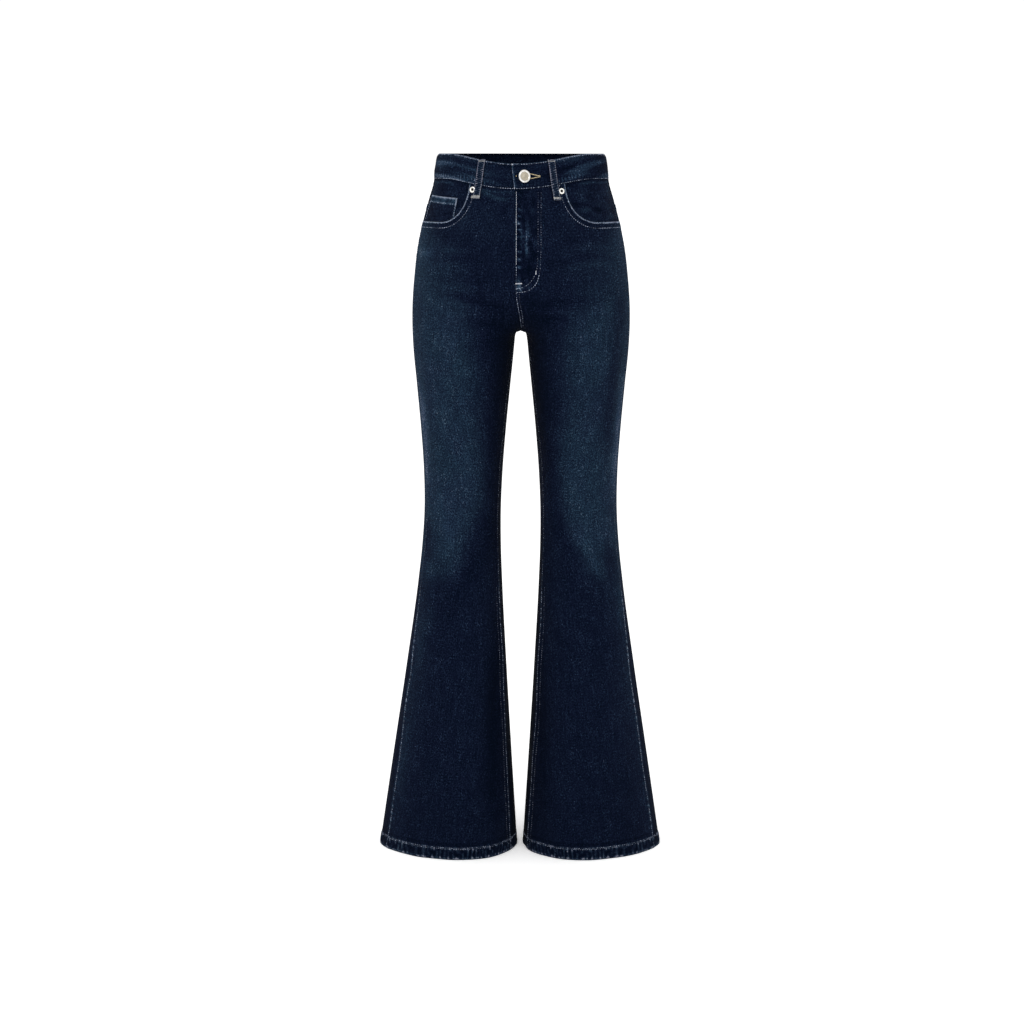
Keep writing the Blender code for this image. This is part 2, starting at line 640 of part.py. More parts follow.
def build_button(collection):
    """A shank button at the left end of the band, tipped a little by the pull of the buttonhole."""
    face = BUTTON_STEM + BUTTON_CAP
    profile = [
        (0, face + BUTTON_RIM * 0.6),
        (BUTTON_RADIUS * 0.45, face + BUTTON_RIM * 0.4),
        (BUTTON_RADIUS * 0.74, face),
        (BUTTON_RADIUS * 0.80, face + BUTTON_RIM),
        (BUTTON_RADIUS * 0.92, face + BUTTON_RIM * 0.8),
        (BUTTON_RADIUS, face - BUTTON_CAP * 0.3),
        (BUTTON_RADIUS * 0.98, face - BUTTON_CAP * 0.7),
        (BUTTON_RADIUS * 0.90, BUTTON_STEM),
        (BUTTON_STEM_RADIUS, BUTTON_STEM),
        (BUTTON_STEM_RADIUS, 0),
        (0, 0),
    ]
    button = turned_node("waist_button", profile, "nickel", collection, steps=28)
    stem_dip = BUTTON_STEM_RADIUS * math.sin(BUTTON_TILT)
    place = (FRONT, LEFT, BUTTON_TURN, BUTTON_HEIGHT)
    place_on(button, form(*place), outward(*place), BAND_PROUD + SEAM_GAP + stem_dip, BUTTON_TILT)


def build_rivets(collection):
    """A ring-shaped head with a small pip, at the inner corner of each pocket mouth."""
    profile = [
        (0, 1.3 * MM),
        (RIVET_RADIUS * 0.20, 1.1 * MM),
        (RIVET_RADIUS * 0.34, 0.7 * MM),
        (RIVET_RADIUS * 0.62, 1.2 * MM),
        (RIVET_RADIUS * 0.90, 0.9 * MM),
        (RIVET_RADIUS, 0.3 * MM),
        (RIVET_RADIUS, 0),
        (0, 0),
    ]
    for hand, label in ((LEFT, "left"), (RIGHT, "right")):
        rivet = turned_node(f"rivet_{label}", profile, "nickel", collection, steps=16)
        place = (FRONT, hand, RIVET_TURN, RIVET_HEIGHTS[hand])
        place_on(rivet, form(*place), outward(*place), SEAM_GAP)


def main():
    for item in list(bpy.data.objects):
        bpy.data.objects.remove(item, do_unlink=True)
    collection = bpy.data.collections.new("bootcut_jeans")
    bpy.context.scene.collection.children.link(collection)
    build_fronts_and_backs(collection)
    build_yokes(collection)
    build_waistband(collection)
    build_pocket_facings(collection)
    build_coin_pocket(collection)
    build_belt_loops(collection)
    build_back_pockets(collection)
    build_hems(collection)
    build_zip(collection)
    build_button(collection)
    build_rivets(collection)


main()
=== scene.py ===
"""Bootcut jeans in dark washed stretch denim, filled out as when worn, with no wearer.

Metres, +Z up. The front faces -Y and the wearer's left is +X. The origin is the centre of the waist
opening, level with the top of the waistband at the back.

Every piece of cloth lies on one form, a closed ring at each height. A place on the form has a side (front
or back), a hand (the wearer's left or right), a turn from 0 at the centre seam (the inner leg seam below
the fork) to 1 at the side seam, and a height. A piece's face stands out of the form by its lift, and its
wash says how much indigo it has lost: 0 is the dark lower leg, 1 the faded thigh.
"""

import logging
import math
from dataclasses import dataclass, field
from enum import Enum
from typing import Any, Mapping, NamedTuple, Sequence

import bpy
import numpy as np
from bpy.types import ID, Material, Node, NodeSocket, NodeTree, Object
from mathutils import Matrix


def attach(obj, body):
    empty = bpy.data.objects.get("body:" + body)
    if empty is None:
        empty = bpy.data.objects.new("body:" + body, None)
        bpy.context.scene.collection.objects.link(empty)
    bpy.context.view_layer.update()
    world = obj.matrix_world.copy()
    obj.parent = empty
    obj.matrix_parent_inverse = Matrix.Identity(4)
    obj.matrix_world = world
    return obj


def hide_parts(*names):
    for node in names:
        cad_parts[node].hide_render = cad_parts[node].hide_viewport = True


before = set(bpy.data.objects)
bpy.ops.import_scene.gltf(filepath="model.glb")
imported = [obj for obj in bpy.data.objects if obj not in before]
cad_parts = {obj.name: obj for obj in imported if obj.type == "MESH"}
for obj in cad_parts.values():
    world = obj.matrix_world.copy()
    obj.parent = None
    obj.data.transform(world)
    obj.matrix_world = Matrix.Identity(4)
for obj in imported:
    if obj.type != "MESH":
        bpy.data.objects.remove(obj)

MM = 0.001
Array = np.ndarray
log = logging.getLogger("bootcut_jeans")

DENIM = 1.2 * MM  # thickness of the panels' denim
LIGHT_DENIM = 1.0 * MM  # of the facings, the coin pocket and the turned hem
SEAM_GAP = 0.3 * MM
LAYER_GAP = 0.2 * MM
PUCKER = 6.5 * MM  # between the puckers that washing leaves along a stitched seam
STITCH = 3.6 * MM  # from one topstitch to the next
EDGED = (0, 0.015, 0.985, 1)  # shares of a width with short steps at both edges


class Side(Enum):
    """Which half of the jeans, front or back."""

    FRONT = -1
    BACK = 1


class Hand(Enum):
    """The wearer's left or right."""

    LEFT = 1
    RIGHT = -1

    @property
    def label(self) -> str:
        """The hand as it stands in names."""
        return self.name.lower()


FRONT, BACK = Side
LEFT, RIGHT = Hand

# ---------------------------------------------------------------- small sums


def ramp(value: Any, start: float, end: float) -> Array:
    """0 up to start, 1 from end on, and 3t^2 - 2t^3 between them."""
    share = np.clip((np.asarray(value, float) - start) / (end - start), 0, 1)
    return share * share * (3 - 2 * share)


def bell(value: Any, width: float) -> Array:
    """1 at 0, falling to 1/e at width: exp(-(value/width)^2)."""
    return np.exp(-((np.asarray(value, float) / width) ** 2))


def spaced(knots: Sequence[float], counts: Sequence[int]) -> Array:
    """Values from the first knot to the last, with counts steps between each pair of knots."""
    runs = [np.linspace(a, b, n, endpoint=False) for a, b, n in zip(knots, knots[1:], counts)]
    return np.concatenate([*runs, [knots[-1]]])


def spread(*values: Any) -> Sequence[Array]:
    """Arrays of one shape, from numbers and arrays that fit together."""
    return np.broadcast_arrays(*(np.asarray(value, float) for value in values))


def travelled(points: Array) -> Array:
    """How far along a row of points each one lies."""
    return np.concatenate([[0], np.cumsum(np.linalg.norm(np.diff(points, axis=0), axis=1))])


def cubic(known: Array, values: Array, slopes: Array, where: Array) -> Array:
    """Values between known places: in each step, the cubic with the values and slopes of both its ends."""
    i = np.clip(np.searchsorted(known, where, side="right") - 1, 0, len(known) - 2)
    step = known[i + 1] - known[i]
    t = (where - known[i]) / step
    if values.ndim > 1:
        step, t = step[:, None], t[:, None]
    start = (2 * t**3 - 3 * t**2 + 1) * values[i] + (t**3 - 2 * t**2 + t) * step * slopes[i]
    return start + (3 * t**2 - 2 * t**3) * values[i + 1] + (t**3 - t**2) * step * slopes[i + 1]


def rounded(points: Sequence[Sequence[float]], count: int) -> Array:
    """A smooth curve through points, as count points: it leaves each along its neighbours' chord."""
    known = np.asarray(points, float)
    chord = travelled(known)
    return cubic(chord, known, np.gradient(known, chord, axis=0), np.linspace(0, chord[-1], count))


def path_distance(across: Array, down: Array, path: Array) -> tuple[Array, Array]:
    """Distance from each place to a path, and how far along the path its nearest point lies.

    Args:
        across: first coordinate of the places.
        down: second coordinate of the places.
        path: the path's points, one row each.

    Returns:
        The distances, and the shares of the path's length from 0 to 1.
    """
    flat = np.stack([across.reshape(-1), down.reshape(-1)], axis=1)
    best = np.full(len(flat), np.inf)
    share = np.zeros(len(flat))
    lengths = np.linalg.norm(np.diff(path, axis=0), axis=1)
    before = travelled(path)
    for i, length in enumerate(lengths):
        ahead = (path[i + 1] - path[i]) / length
        along = np.clip((flat - path[i]) @ ahead, 0, length)
        away = np.linalg.norm(flat - path[i] - along[:, None] * ahead, axis=1)
        nearer = away < best
        best = np.where(nearer, away, best)
        share = np.where(nearer, (before[i] + along) / before[-1], share)
    return best.reshape(across.shape), share.reshape(across.shape)


@dataclass(frozen=True)
class Unevenness:
    """Soft unevenness: a sum of sine waves of random directions and phases, about one length."""

    size: float
    seed: int
    waves: int = 16

    def at(self, across: Array, down: Array) -> Array:
        """The unevenness at places on a sheet, about -1 to 1."""
        rng = np.random.default_rng(self.seed)
        angles = rng.uniform(0, math.tau, self.waves)
        lengths = self.size * rng.uniform(0.7, 1.6, self.waves)
        phases = rng.uniform(0, math.tau, self.waves)
        total = np.zeros(np.broadcast(across, down).shape)
        for angle, length, phase in zip(angles, lengths, phases):
            along = across * math.cos(angle) + down * math.sin(angle)
            total += np.sin(math.tau * along / length + phase)
        return total / math.sqrt(self.waves)


def puckers(along: Array, pitch: float = PUCKER, seed: int = 3) -> Array:
    """Waves of about one pitch along a seam, -1 to 1, uneven in place and strength as washed seams are."""
    drift = Unevenness(9 * pitch, seed).at(along, 0 * along)
    strength = 0.75 + 0.35 * Unevenness(5 * pitch, seed + 1).at(along, 0 * along)
    return np.sin(math.tau * along / pitch + 2.2 * drift) * strength


# ---------------------------------------------------------------- the form


@dataclass(frozen=True)
class Place:
    """Places on one quarter of the form, as arrays of one shape."""

    side: Side
    hand: Hand
    turn: Array
    height: Array
    distance: Array  # from the centre seam, along the cloth
    to_side: Array  # from the side seam, along the cloth

    def among(self, chosen: Array) -> "Place":
        """The places where chosen is true."""
        arrays = (self.turn, self.height, self.distance, self.to_side)
        return Place(self.side, self.hand, *(array[chosen] for array in arrays))


@dataclass(frozen=True)
class Form:
    """The shape that the jeans fill: a table of sections, and the rule that parts the body into legs.

    gap is half the distance between the legs; front, back, leg_front and leg_back are the reaches of the
    body's and of the leg's ring from the middle; seam_y is where the side and inner seams stand; point is 1
    for a round leg, more for one that is pointed at its seams. All but point are in millimetres.
    """

    columns: tuple[str, ...] = (
        "height", "half_width", "gap", "front", "back", "leg_front", "leg_back", "seam_y", "point"
    )
    sections: tuple[tuple[float, ...], ...] = (
        (0, 127.6, 8.3, 84, 86, 70, 70, 0, 1),
        (-20, 131.4, 8.3, 86.5, 88, 72, 72, 0, 1),
        (-46, 134.8, 8.3, 89.5, 92.5, 75, 76, 1, 1),
        (-66, 140.8, 8.3, 94, 99, 78, 82, 2, 1),
        (-100, 150.3, 8.3, 100.5, 112, 84, 92, 3, 1),
        (-140, 159.1, 8.3, 105.5, 125, 90, 103, 4, 1),
        (-185, 165, 8.3, 108.5, 133, 94, 112, 5, 1),
        (-230, 168.4, 8.3, 109, 132, 95.5, 115, 5, 1),
        (-268, 168.7, 8.4, 106, 125, 95, 112, 5, 1),
        (-300, 167.2, 11, 102, 114, 93, 106, 4.5, 1),
        (-350, 162.6, 16, 95, 100, 88.5, 95, 4, 1),
        (-420, 156.4, 22.9, 84, 85, 80, 81.5, 2.5, 1),
        (-490, 152, 28.4, 71, 70, 70.5, 69.5, 1, 1),
        (-550, 151.5, 31, 63.5, 62.5, 63.5, 62.5, 0, 1),
        (-610, 155.5, 30.9, 62, 63.5, 62, 63.5, 0, 1),
        (-670, 162.4, 28.8, 64.5, 68, 64.5, 68, 0, 1.02),
        (-800, 181, 22.2, 72, 76, 72, 76, 0, 1.05),
        (-950, 203.9, 13.6, 79.5, 84, 79.5, 84, 0, 1.08),
        (-1100, 226.5, 4.6, 86, 91, 86, 91, 0, 1.1),
    )
    flare_lean: float = 0.2  # how much further forward the flare's front stands at the inner seam's side
    flare_lean_start: float = -600 * MM
    foot: float = -1100 * MM
    fork: float = -270.5 * MM
    arch_power: float = 3
    arch_radius: float = 9 * MM
    arch_spread: float = 0.25
    arch_widening: float = 60 * MM
    parting: Mapping[Side, tuple[float, float]] = field(
        default_factory=lambda: {FRONT: (-150 * MM, 2.2), BACK: (-165 * MM, 2.6)}
    )
    parting_spread: float = 0.55
    parting_drop: float = 110 * MM
    centre_shift: float = -9.0 * MM  # the centre front stands to the wearer's right of the middle
    centre_blend: float = 70 * MM
    tables: dict = field(default_factory=dict)  # distances along the cloth, worked out once per quarter

    def section(self, name: str, height: Array) -> Array:
        """A column of the section table at any height, on a smooth curve through its rows."""
        rows = np.array(self.sections[::-1])
        known = rows[:, 0] * MM
        values = rows[:, self.columns.index(name)] * (1 if name == "point" else MM)
        step = np.diff(known)
        slope = np.diff(values) / step
        tangent = np.empty(len(values))
        tangent[0], tangent[-1] = slope[0], slope[-1]
        tangent[1:-1] = (slope[:-1] * step[1:] + slope[1:] * step[:-1]) / (step[:-1] + step[1:])
        return cubic(known, values, tangent, np.clip(height, known[0], known[-1]))

    def leg_share(self, side: Side, turn: Array, height: Array) -> Array:
        """0 where the ring is the body's, 1 where it is the leg's; slower away from the centre seam."""
        top, power = self.parting[side]
        away = ramp(turn, 0, self.parting_spread)
        down = np.clip((top - height) / (top - self.fork + self.parting_drop * away), 0, 1)
        return 1 - (1 - down**power) ** (1 / power + (2 - 1 / power) * away)

    def arch_closing(self, turn: Array, height: Array) -> Array:
        """1 where the round arch between the legs closes their gap, at and above the fork; 0 below it."""
        away = np.clip(turn / self.arch_spread, 0, 1)
        radius = self.arch_radius + self.arch_widening * away
        below = np.clip((self.fork - height) / radius, 0, 1)
        return (1 - (1 - (1 - below) ** self.arch_power) ** (1 / self.arch_power)) * (1 - away) ** 2

    def height_at_share(self, side: Side, share: Array) -> Array:
        """The height where the centre seam has come in to the fork by this share."""
        top, power = self.parting[side]
        return top - (top - self.fork) * (1 - (1 - share) ** power) ** (1 / power)

    def points(self, side: Side, hand: Hand, turn: Any, height: Any) -> Array:
        """Points of the form: a quarter oval round the body above, a half oval round each leg below."""
        turn, height = spread(turn, height)
        half_width, gap, seam_y = (self.section(name, height) for name in ("half_width", "gap", "seam_y"))
        reaches = ("front", "leg_front") if side is FRONT else ("back", "leg_back")
        body, leg = (self.section(name, height) - side.value * seam_y for name in reaches)
        share = self.leg_share(side, turn, height)
        angle = math.pi * turn
        leg_x = (half_width + gap) / 2 - (half_width - gap) / 2 * np.cos(angle)
        leg_x = leg_x - gap * self.arch_closing(turn, height)
        leg_y = leg * np.clip(np.sin(angle), 0, None) ** self.section("point", height)
        x = hand.value * ((1 - share) * half_width * np.sin(angle / 2) + share * leg_x)
        if side is FRONT:
            lean = np.clip((self.flare_lean_start - height) / (self.flare_lean_start - self.foot), 0, 1)
            leg_y = leg_y * (1 + self.flare_lean * lean * np.cos(angle))
            up = np.clip((height - self.fork) / self.centre_blend, 0, 1)
            x = x + self.centre_shift * (0.5 - 0.5 * np.cos(math.pi * up)) * np.cos(angle / 2) ** 2
        y = seam_y + side.value * ((1 - share) * body * np.cos(angle / 2) + share * leg_y)
        return np.stack([x, y, height], axis=-1)

    def outward(self, side: Side, hand: Hand, turn: Any, height: Any) -> Array:
        """Unit vectors out of the form: the cross product of its steps across and down."""
        turn, height = spread(turn, height)
        low, high = np.clip(turn - 0.004, 0, 1), np.clip(turn + 0.004, 0, 1)
        across = self.points(side, hand, high, height) - self.points(side, hand, low, height)
        step = 1 * MM
        down = self.points(side, hand, turn, height - step) - self.points(side, hand, turn, height + step)
        out = np.cross(down, across) * -side.value * hand.value
        return out / np.linalg.norm(out, axis=-1, keepdims=True)

    def frame(self, place: Place) -> tuple[Array, Array]:
        """The form's points at places, and the directions out of it."""
        where = place.side, place.hand, place.turn, place.height
        return self.points(*where), self.outward(*where)

    def table(self, side: Side, hand: Hand) -> tuple[Array, Array, Array]:
        """Heights, turns and the distances from the centre seam along the cloth at each pair of them."""
        if (side, hand) not in self.tables:
            turns = np.linspace(0, 1, 201)
            heights = np.linspace(5 * MM, -1110 * MM, 447)
            rings = self.points(side, hand, turns[None], heights[:, None])
            steps = np.linalg.norm(np.diff(rings, axis=1), axis=2)
            distances = np.concatenate([np.zeros((len(heights), 1)), np.cumsum(steps, axis=1)], axis=1)
            self.tables[side, hand] = (heights, turns, distances)
        return self.tables[side, hand]

    @staticmethod
    def beside(rings: Array, i: Array) -> tuple[Array, Array]:
        """Each ring's distances at its own turns i and i + 1."""
        return tuple(np.take_along_axis(rings, (i + k)[..., None], axis=-1)[..., 0] for k in (0, 1))

    def rings_at(self, side: Side, hand: Hand, height: Array) -> tuple[Array, Array]:
        """The turns, and for each height the distances from the centre seam at them."""
        heights, turns, distances = self.table(side, hand)
        row = np.clip((heights[0] - height) / (heights[0] - heights[1]), 0, len(heights) - 1.001)
        i = row.astype(int)
        share = (row - i)[..., None]
        return turns, distances[i] * (1 - share) + distances[i + 1] * share

    def place(self, side: Side, hand: Hand, turn: Any, height: Any) -> Place:
        """Places from turns and heights, with their distances along the cloth."""
        turn, height = spread(turn, height)
        turns, rings = self.rings_at(side, hand, height)
        column = np.clip(turn, 0, 1) * (len(turns) - 1)
        i = np.minimum(column.astype(int), len(turns) - 2)
        near, far = self.beside(rings, i)
        distance = near + (far - near) * (column - i)
        return Place(side, hand, turn, height, distance, rings[..., -1] - distance)

    def place_at(self, side: Side, hand: Hand, distance: Any, height: Any) -> Place:
        """Places from distances from the centre seam and heights."""
        distance, height = spread(distance, height)
        turns, rings = self.rings_at(side, hand, height)
        i = np.clip((rings < distance[..., None]).sum(axis=-1) - 1, 0, len(turns) - 2)
        near, far = self.beside(rings, i)
        share = np.clip((distance - near) / np.maximum(far - near, 1e-9), 0, 1)
        turn = (i + share) / (len(turns) - 1)
        return Place(side, hand, turn, height, distance, rings[..., -1] - distance)


FORM = Form()


# ---------------------------------------------------------------- how the jeans are cut


@dataclass(frozen=True)
class Cut:
    """The lines where the pieces meet, as heights for each turn, and the band's and the hem's depths."""

    hem: float = FORM.foot
    hem_depth: float = 20 * MM
    band_height: float = 38 * MM
    band_wall: float = 2.4 * MM
    band_proud: float = 0.4 * MM
    dip_depth: float = 14.6 * MM
    dip_reach: float = 105 * MM
    dip_power: float = 1.6
    scoop_start: float = 0.354
    scoop_flat: float = 0.60
    scoop_height: float = -102 * MM
    scoop_power: float = 2.6
    yoke_centre: float = -108 * MM
    yoke_side: float = -76 * MM
    seam_insets: tuple[tuple[float, ...], ...] = (
        (-1100, 11.0, 9.6, 8.8, 7.0), (-1057, 11.2, 9.6, 9.0, 7.0), (-1007, 11.4, 9.7, 9.2, 5.6),
        (-957, 11.0, 9.6, 7.6, 5.8), (-907, 9.5, 9.4, 7.0, 6.2), (-860, 7.8, 8.6, 6.3, 6.3),
        (-805, 7.7, 7.9, 5.4, 5.4), (-760, 6.2, 6.5, 5.0, 5.0), (-700, 4.6, 5.0, 4.5, 4.5),
        (-560, 4.6, 4.6, 4.4, 4.4), (-470, 5.6, 5.6, 4.3, 4.3), (-350, 4.6, 4.6, 3.3, 3.3),
        (-268, 3.4, 3.4, 0.5, 0.5), (-200, 2.6, 2.6, 0.5, 0.5), (-110, 0.5, 0.5, 0.5, 0.5),
    )  # height, then how far in from the leg's edge the right and left side seams and inner seams show, mm

    def seam_turn(self, inner: bool, hand: Hand, height: Any, more: float = 0) -> Array:
        """Where a leg seam's line shows on the front, which the back panel's cloth reaches round to.

        Args:
            inner: the inner leg seam, or else the side seam.
            hand: the leg.
            height: the heights.
            more: how much further in to look, in metres across the leg.

        Returns:
            The turns that lie the line's inset in from the leg's edge, seen from the front.
        """
        rows = np.array(self.seam_insets) * MM
        inset = np.interp(height, rows[:, 0], rows[:, 1 + 2 * inner + (hand is LEFT)]) + more
        half = (FORM.section("half_width", height) - FORM.section("gap", height)) / 2
        turn = np.arccos(1 - inset / half) / math.pi
        return turn if inner else 1 - turn

    def top_edge(self, side: Side, turn: Any) -> Array:
        """The waistband's top edge: level at the back, dipping at the centre front."""
        turn = np.asarray(turn, float)
        if side is BACK:
            return np.zeros(turn.shape)
        out = FORM.sections[0][1] * MM * np.sin(math.pi * turn / 2) / self.dip_reach
        return -self.dip_depth * np.clip(1 - out**2, 0, 1) ** self.dip_power

    def waist_seam(self, side: Side, turn: Any) -> Array:
        """The seam under the waistband."""
        return self.top_edge(side, turn) - self.band_height

    def front_top(self, turn: Any) -> Array:
        """The front panel's top edge: the waist seam, then the scoop, a squarish quarter round."""
        turn = np.asarray(turn, float)
        corner = self.waist_seam(FRONT, self.scoop_start)
        left = np.clip((self.scoop_flat - turn) / (self.scoop_flat - self.scoop_start), 0, 1)
        drop = (1 - left**self.scoop_power) ** (1 / self.scoop_power)
        scoop = corner - (corner - self.scoop_height) * drop
        return np.where(turn <= self.scoop_start, self.waist_seam(FRONT, turn), scoop) - SEAM_GAP

    def yoke_seam(self, turn: Any) -> Array:
        """The yoke's lower seam, lowest at the centre back."""
        rise = np.sin(math.pi * np.asarray(turn, float) / 2)
        return self.yoke_centre + (self.yoke_side - self.yoke_centre) * rise

    def scoop_path(self, hand: Hand, inside: float = 0) -> Array:
        """The pocket mouth's edge as distances and heights, moved into the front panel by inside."""
        turns = spaced((self.scoop_start, 0.36, 0.405, self.scoop_flat, 1), (14, 18, 24, 16))
        place = FORM.place(FRONT, hand, turns, self.front_top(turns))
        path = np.stack([place.distance, place.height], axis=1)
        ahead = np.gradient(path, axis=0)
        ahead /= np.linalg.norm(ahead, axis=1, keepdims=True)
        return path + inside * np.stack([ahead[:, 1], -ahead[:, 0]], axis=1)

    def fly_path(self, outer: bool) -> Array:
        """The fly's curved stitching as distances from the centre front and heights."""
        rows = {
            True: (
                (38.2, -56), (38.1, -100), (37.9, -150), (36.3, -174), (30, -193), (18.5, -202.5),
                (1, -205.5),
            ),
            False: (
                (33.8, -56), (33.6, -100), (33.3, -150), (31.8, -170), (25, -186), (14, -196),
                (1, -199.5),
            ),
        }
        return rounded(np.array(rows[outer]) * MM, 90)


CUT = Cut()


# ---------------------------------------------------------------- creases and fades


@dataclass(frozen=True)
class Fold:
    """A crease along a path on one quarter: a trough where its depth is negative, a ridge above 0.

    The path is in millimetres, distances from the centre seam and heights; so are width and depth. Its wash
    is partly the real fading of whiskers and worn ridges, and partly painted shade in a trough and painted
    highlight on a ridge.
    """

    path: tuple[tuple[float, float], ...]
    width: float
    depth: float
    wash: float

    def share(self, place: Place) -> Array:
        """How much of the crease each place has: a bell across the path, fading at both its ends."""
        total = np.zeros(place.turn.shape)
        path = np.array(self.path) * MM
        reach = 3 * self.width * MM
        low, high = path.min(axis=0) - reach, path.max(axis=0) + reach
        near = (place.distance > low[0]) & (place.distance < high[0])
        near &= (place.height > low[1]) & (place.height < high[1])
        if near.any():
            away, along = path_distance(place.distance[near], place.height[near], rounded(path, 20))
            total[near] = bell(away, self.width * MM) * np.clip(np.sin(math.pi * along), 0, 1) ** 0.7
        return total


# Each crease: its path, its width and its depth in mm, and its wash: partly real fading, partly painted
# shade in the troughs and painted highlight on the ridges.
FOLDS: Mapping[tuple[Side, Hand], tuple[tuple, ...]] = {
    (FRONT, RIGHT): (
        # Whiskers across the hip.
        (((118, -155), (67, -154), (30, -162)), 5, -0.5, -0.28),
        (((100, -175), (78, -179), (54, -189), (27, -196), (10, -202)), 5, -0.6, -0.30),
        (((122, -211), (94, -211), (73, -215), (50, -222), (30, -227), (12, -233)), 6, -1.0, -0.45),
        (((90, -247), (69, -252), (49, -255), (30, -262)), 8, -0.9, -0.40),
        (((140, -139), (100, -143), (66, -147)), 5, 0.5, 0.30),
        (((140, -170), (96, -168), (58, -171)), 6, 0.5, 0.26),
        (((126, -200), (90, -199), (56, -206)), 6, 0.6, 0.30),
        (((120, -221), (88, -222), (60, -229)), 6, 0.6, 0.34),
        (((188, -145), (165, -149), (132, -147)), 7, 0.3, 0.55),
        # Pulls under the waist seam.
        (((58, -55), (42, -60), (27, -66), (6, -68)), 3.2, 0.6, 0.95),
        (((62, -62), (44, -70), (30, -73)), 3.5, -0.5, -0.35),
        (((16, -72), (13, -90), (12, -112)), 7, -0.5, -0.30),
        (((66, -82), (76, -94), (92, -108)), 7, 0.5, 0.25),
        # Folds from inside the knee down to the outer calf.
        (((58, -590), (80, -640), (104, -676), (134, -724)), 11, -1.3, -0.20),
        (((146, -505), (128, -560), (112, -600), (102, -645)), 10, 1.0, 0.22),
        (((150, -640), (140, -672), (142, -712)), 13, -1.0, -0.22),
        (((140, -690), (160, -722), (176, -745), (188, -805)), 9, 0.9, 0.34),
        (((206, -875), (220, -915), (238, -1035)), 9, 0.7, 0.22),
        (((160, -555), (162, -590), (160, -632)), 12, -0.6, -0.85),
        # Hollows and ridges down the flare.
        (((34, -700), (50, -800), (66, -920), (76, -1070)), 17, -1.3, -0.85),
        (((120, -760), (130, -880), (136, -1040)), 22, 0.8, 0.03),
    ),
    (FRONT, LEFT): (
        # Whiskers across the hip.
        (((40, -166), (84, -157), (113, -152), (180, -160)), 5, -0.5, -0.26),
        (((50, -199), (106, -195), (170, -188)), 6, -0.6, -0.26),
        (((22, -229), (52, -222), (72, -219), (112, -216)), 6, -1.0, -0.45),
        (((16, -249), (52, -245), (80, -247)), 7, -0.8, -0.38),
        (((62, -176), (98, -167), (150, -163)), 6, 0.5, 0.30),
        (((82, -204), (100, -202), (130, -199)), 9, 0.5, 0.30),
        (((26, -238), (64, -235), (84, -236)), 4, 0.4, 0.34),
        (((60, -145), (100, -138), (150, -136)), 6, 0.4, 0.18),
        (((8, -196), (20, -211), (24, -232)), 7, -0.4, -0.45),
        # Pulls under the waist seam.
        (((68, -84), (78, -97), (96, -112)), 7, 0.5, 0.20),
        (((46, -60), (60, -66), (70, -80)), 6, -0.4, -0.20),
        # Folds from inside the knee down to the outer calf.
        (((56, -545), (72, -585), (100, -628), (138, -668)), 11, -1.2, -0.12),
        (((94, -575), (112, -612), (140, -658)), 8, 1.1, 0.34),
        (((168, -655), (178, -690), (180, -745)), 8, 0.8, 0.30),
        (((148, -592), (152, -625), (158, -668)), 15, -0.7, -0.65),
        (((62, -700), (92, -735), (130, -750), (160, -748)), 7, 0.6, 0.12),
        (((150, -780), (166, -850), (190, -940)), 12, 0.7, 0.10),
        # Hollows and ridges down the flare.
        (((36, -760), (48, -880), (62, -980), (72, -1070)), 17, -1.1, -0.50),
        (((96, -770), (108, -900), (116, -1060)), 18, 0.8, 0.05),
        (((190, -820), (214, -930), (236, -1050)), 12, -0.7, -0.04),
    ),
    (BACK, RIGHT): (
        # Drag lines under the seat, and the back of the knee.
        (((12, -238), (42, -246), (80, -250), (128, -240)), 9, -2, -0.51),
        (((30, -262), (64, -272), (110, -276)), 8, 1.4, 0.39),
        (((44, -292), (80, -300), (120, -298)), 9, -1.4, -0.33),
        (((30, -520), (80, -528), (140, -514)), 8, -1.8, -0.45),
        (((40, -546), (90, -556), (150, -548)), 8, 1.5, 0.51),
        (((30, -574), (84, -588), (150, -578)), 9, -1.9, -0.48),
        (((60, -606), (104, -622), (160, -640)), 9, 1.5, 0.42),
        (((50, -640), (92, -660), (140, -700)), 11, -1.5, -0.33),
        (((150, -760), (166, -880), (190, -1040)), 16, -1.2, -0.1),
        (((90, -760), (104, -900), (118, -1060)), 20, 1, 0.04),
    ),
    (BACK, LEFT): (
        # Drag lines under the seat, and the back of the knee.
        (((12, -236), (44, -247), (84, -252), (132, -246)), 9, -2.1, -0.51),
        (((28, -260), (66, -274), (112, -280)), 8, 1.4, 0.39),
        (((50, -296), (86, -304), (124, -306)), 9, -1.2, -0.33),
        (((34, -528), (84, -536), (146, -520)), 8, -1.6, -0.45),
        (((46, -556), (92, -562), (152, -552)), 8, 1.5, 0.51),
        (((28, -584), (86, -598), (152, -590)), 9, -2, -0.48),
        (((50, -618), (98, -636), (158, -650)), 9, 1.4, 0.42),
        (((40, -660), (84, -684), (140, -716)), 11, -1.4, -0.3),
        (((140, -780), (156, -900), (176, -1050)), 16, -1.2, -0.1),
        (((90, -760), (104, -900), (118, -1060)), 20, 1, 0.04),
    ),
}
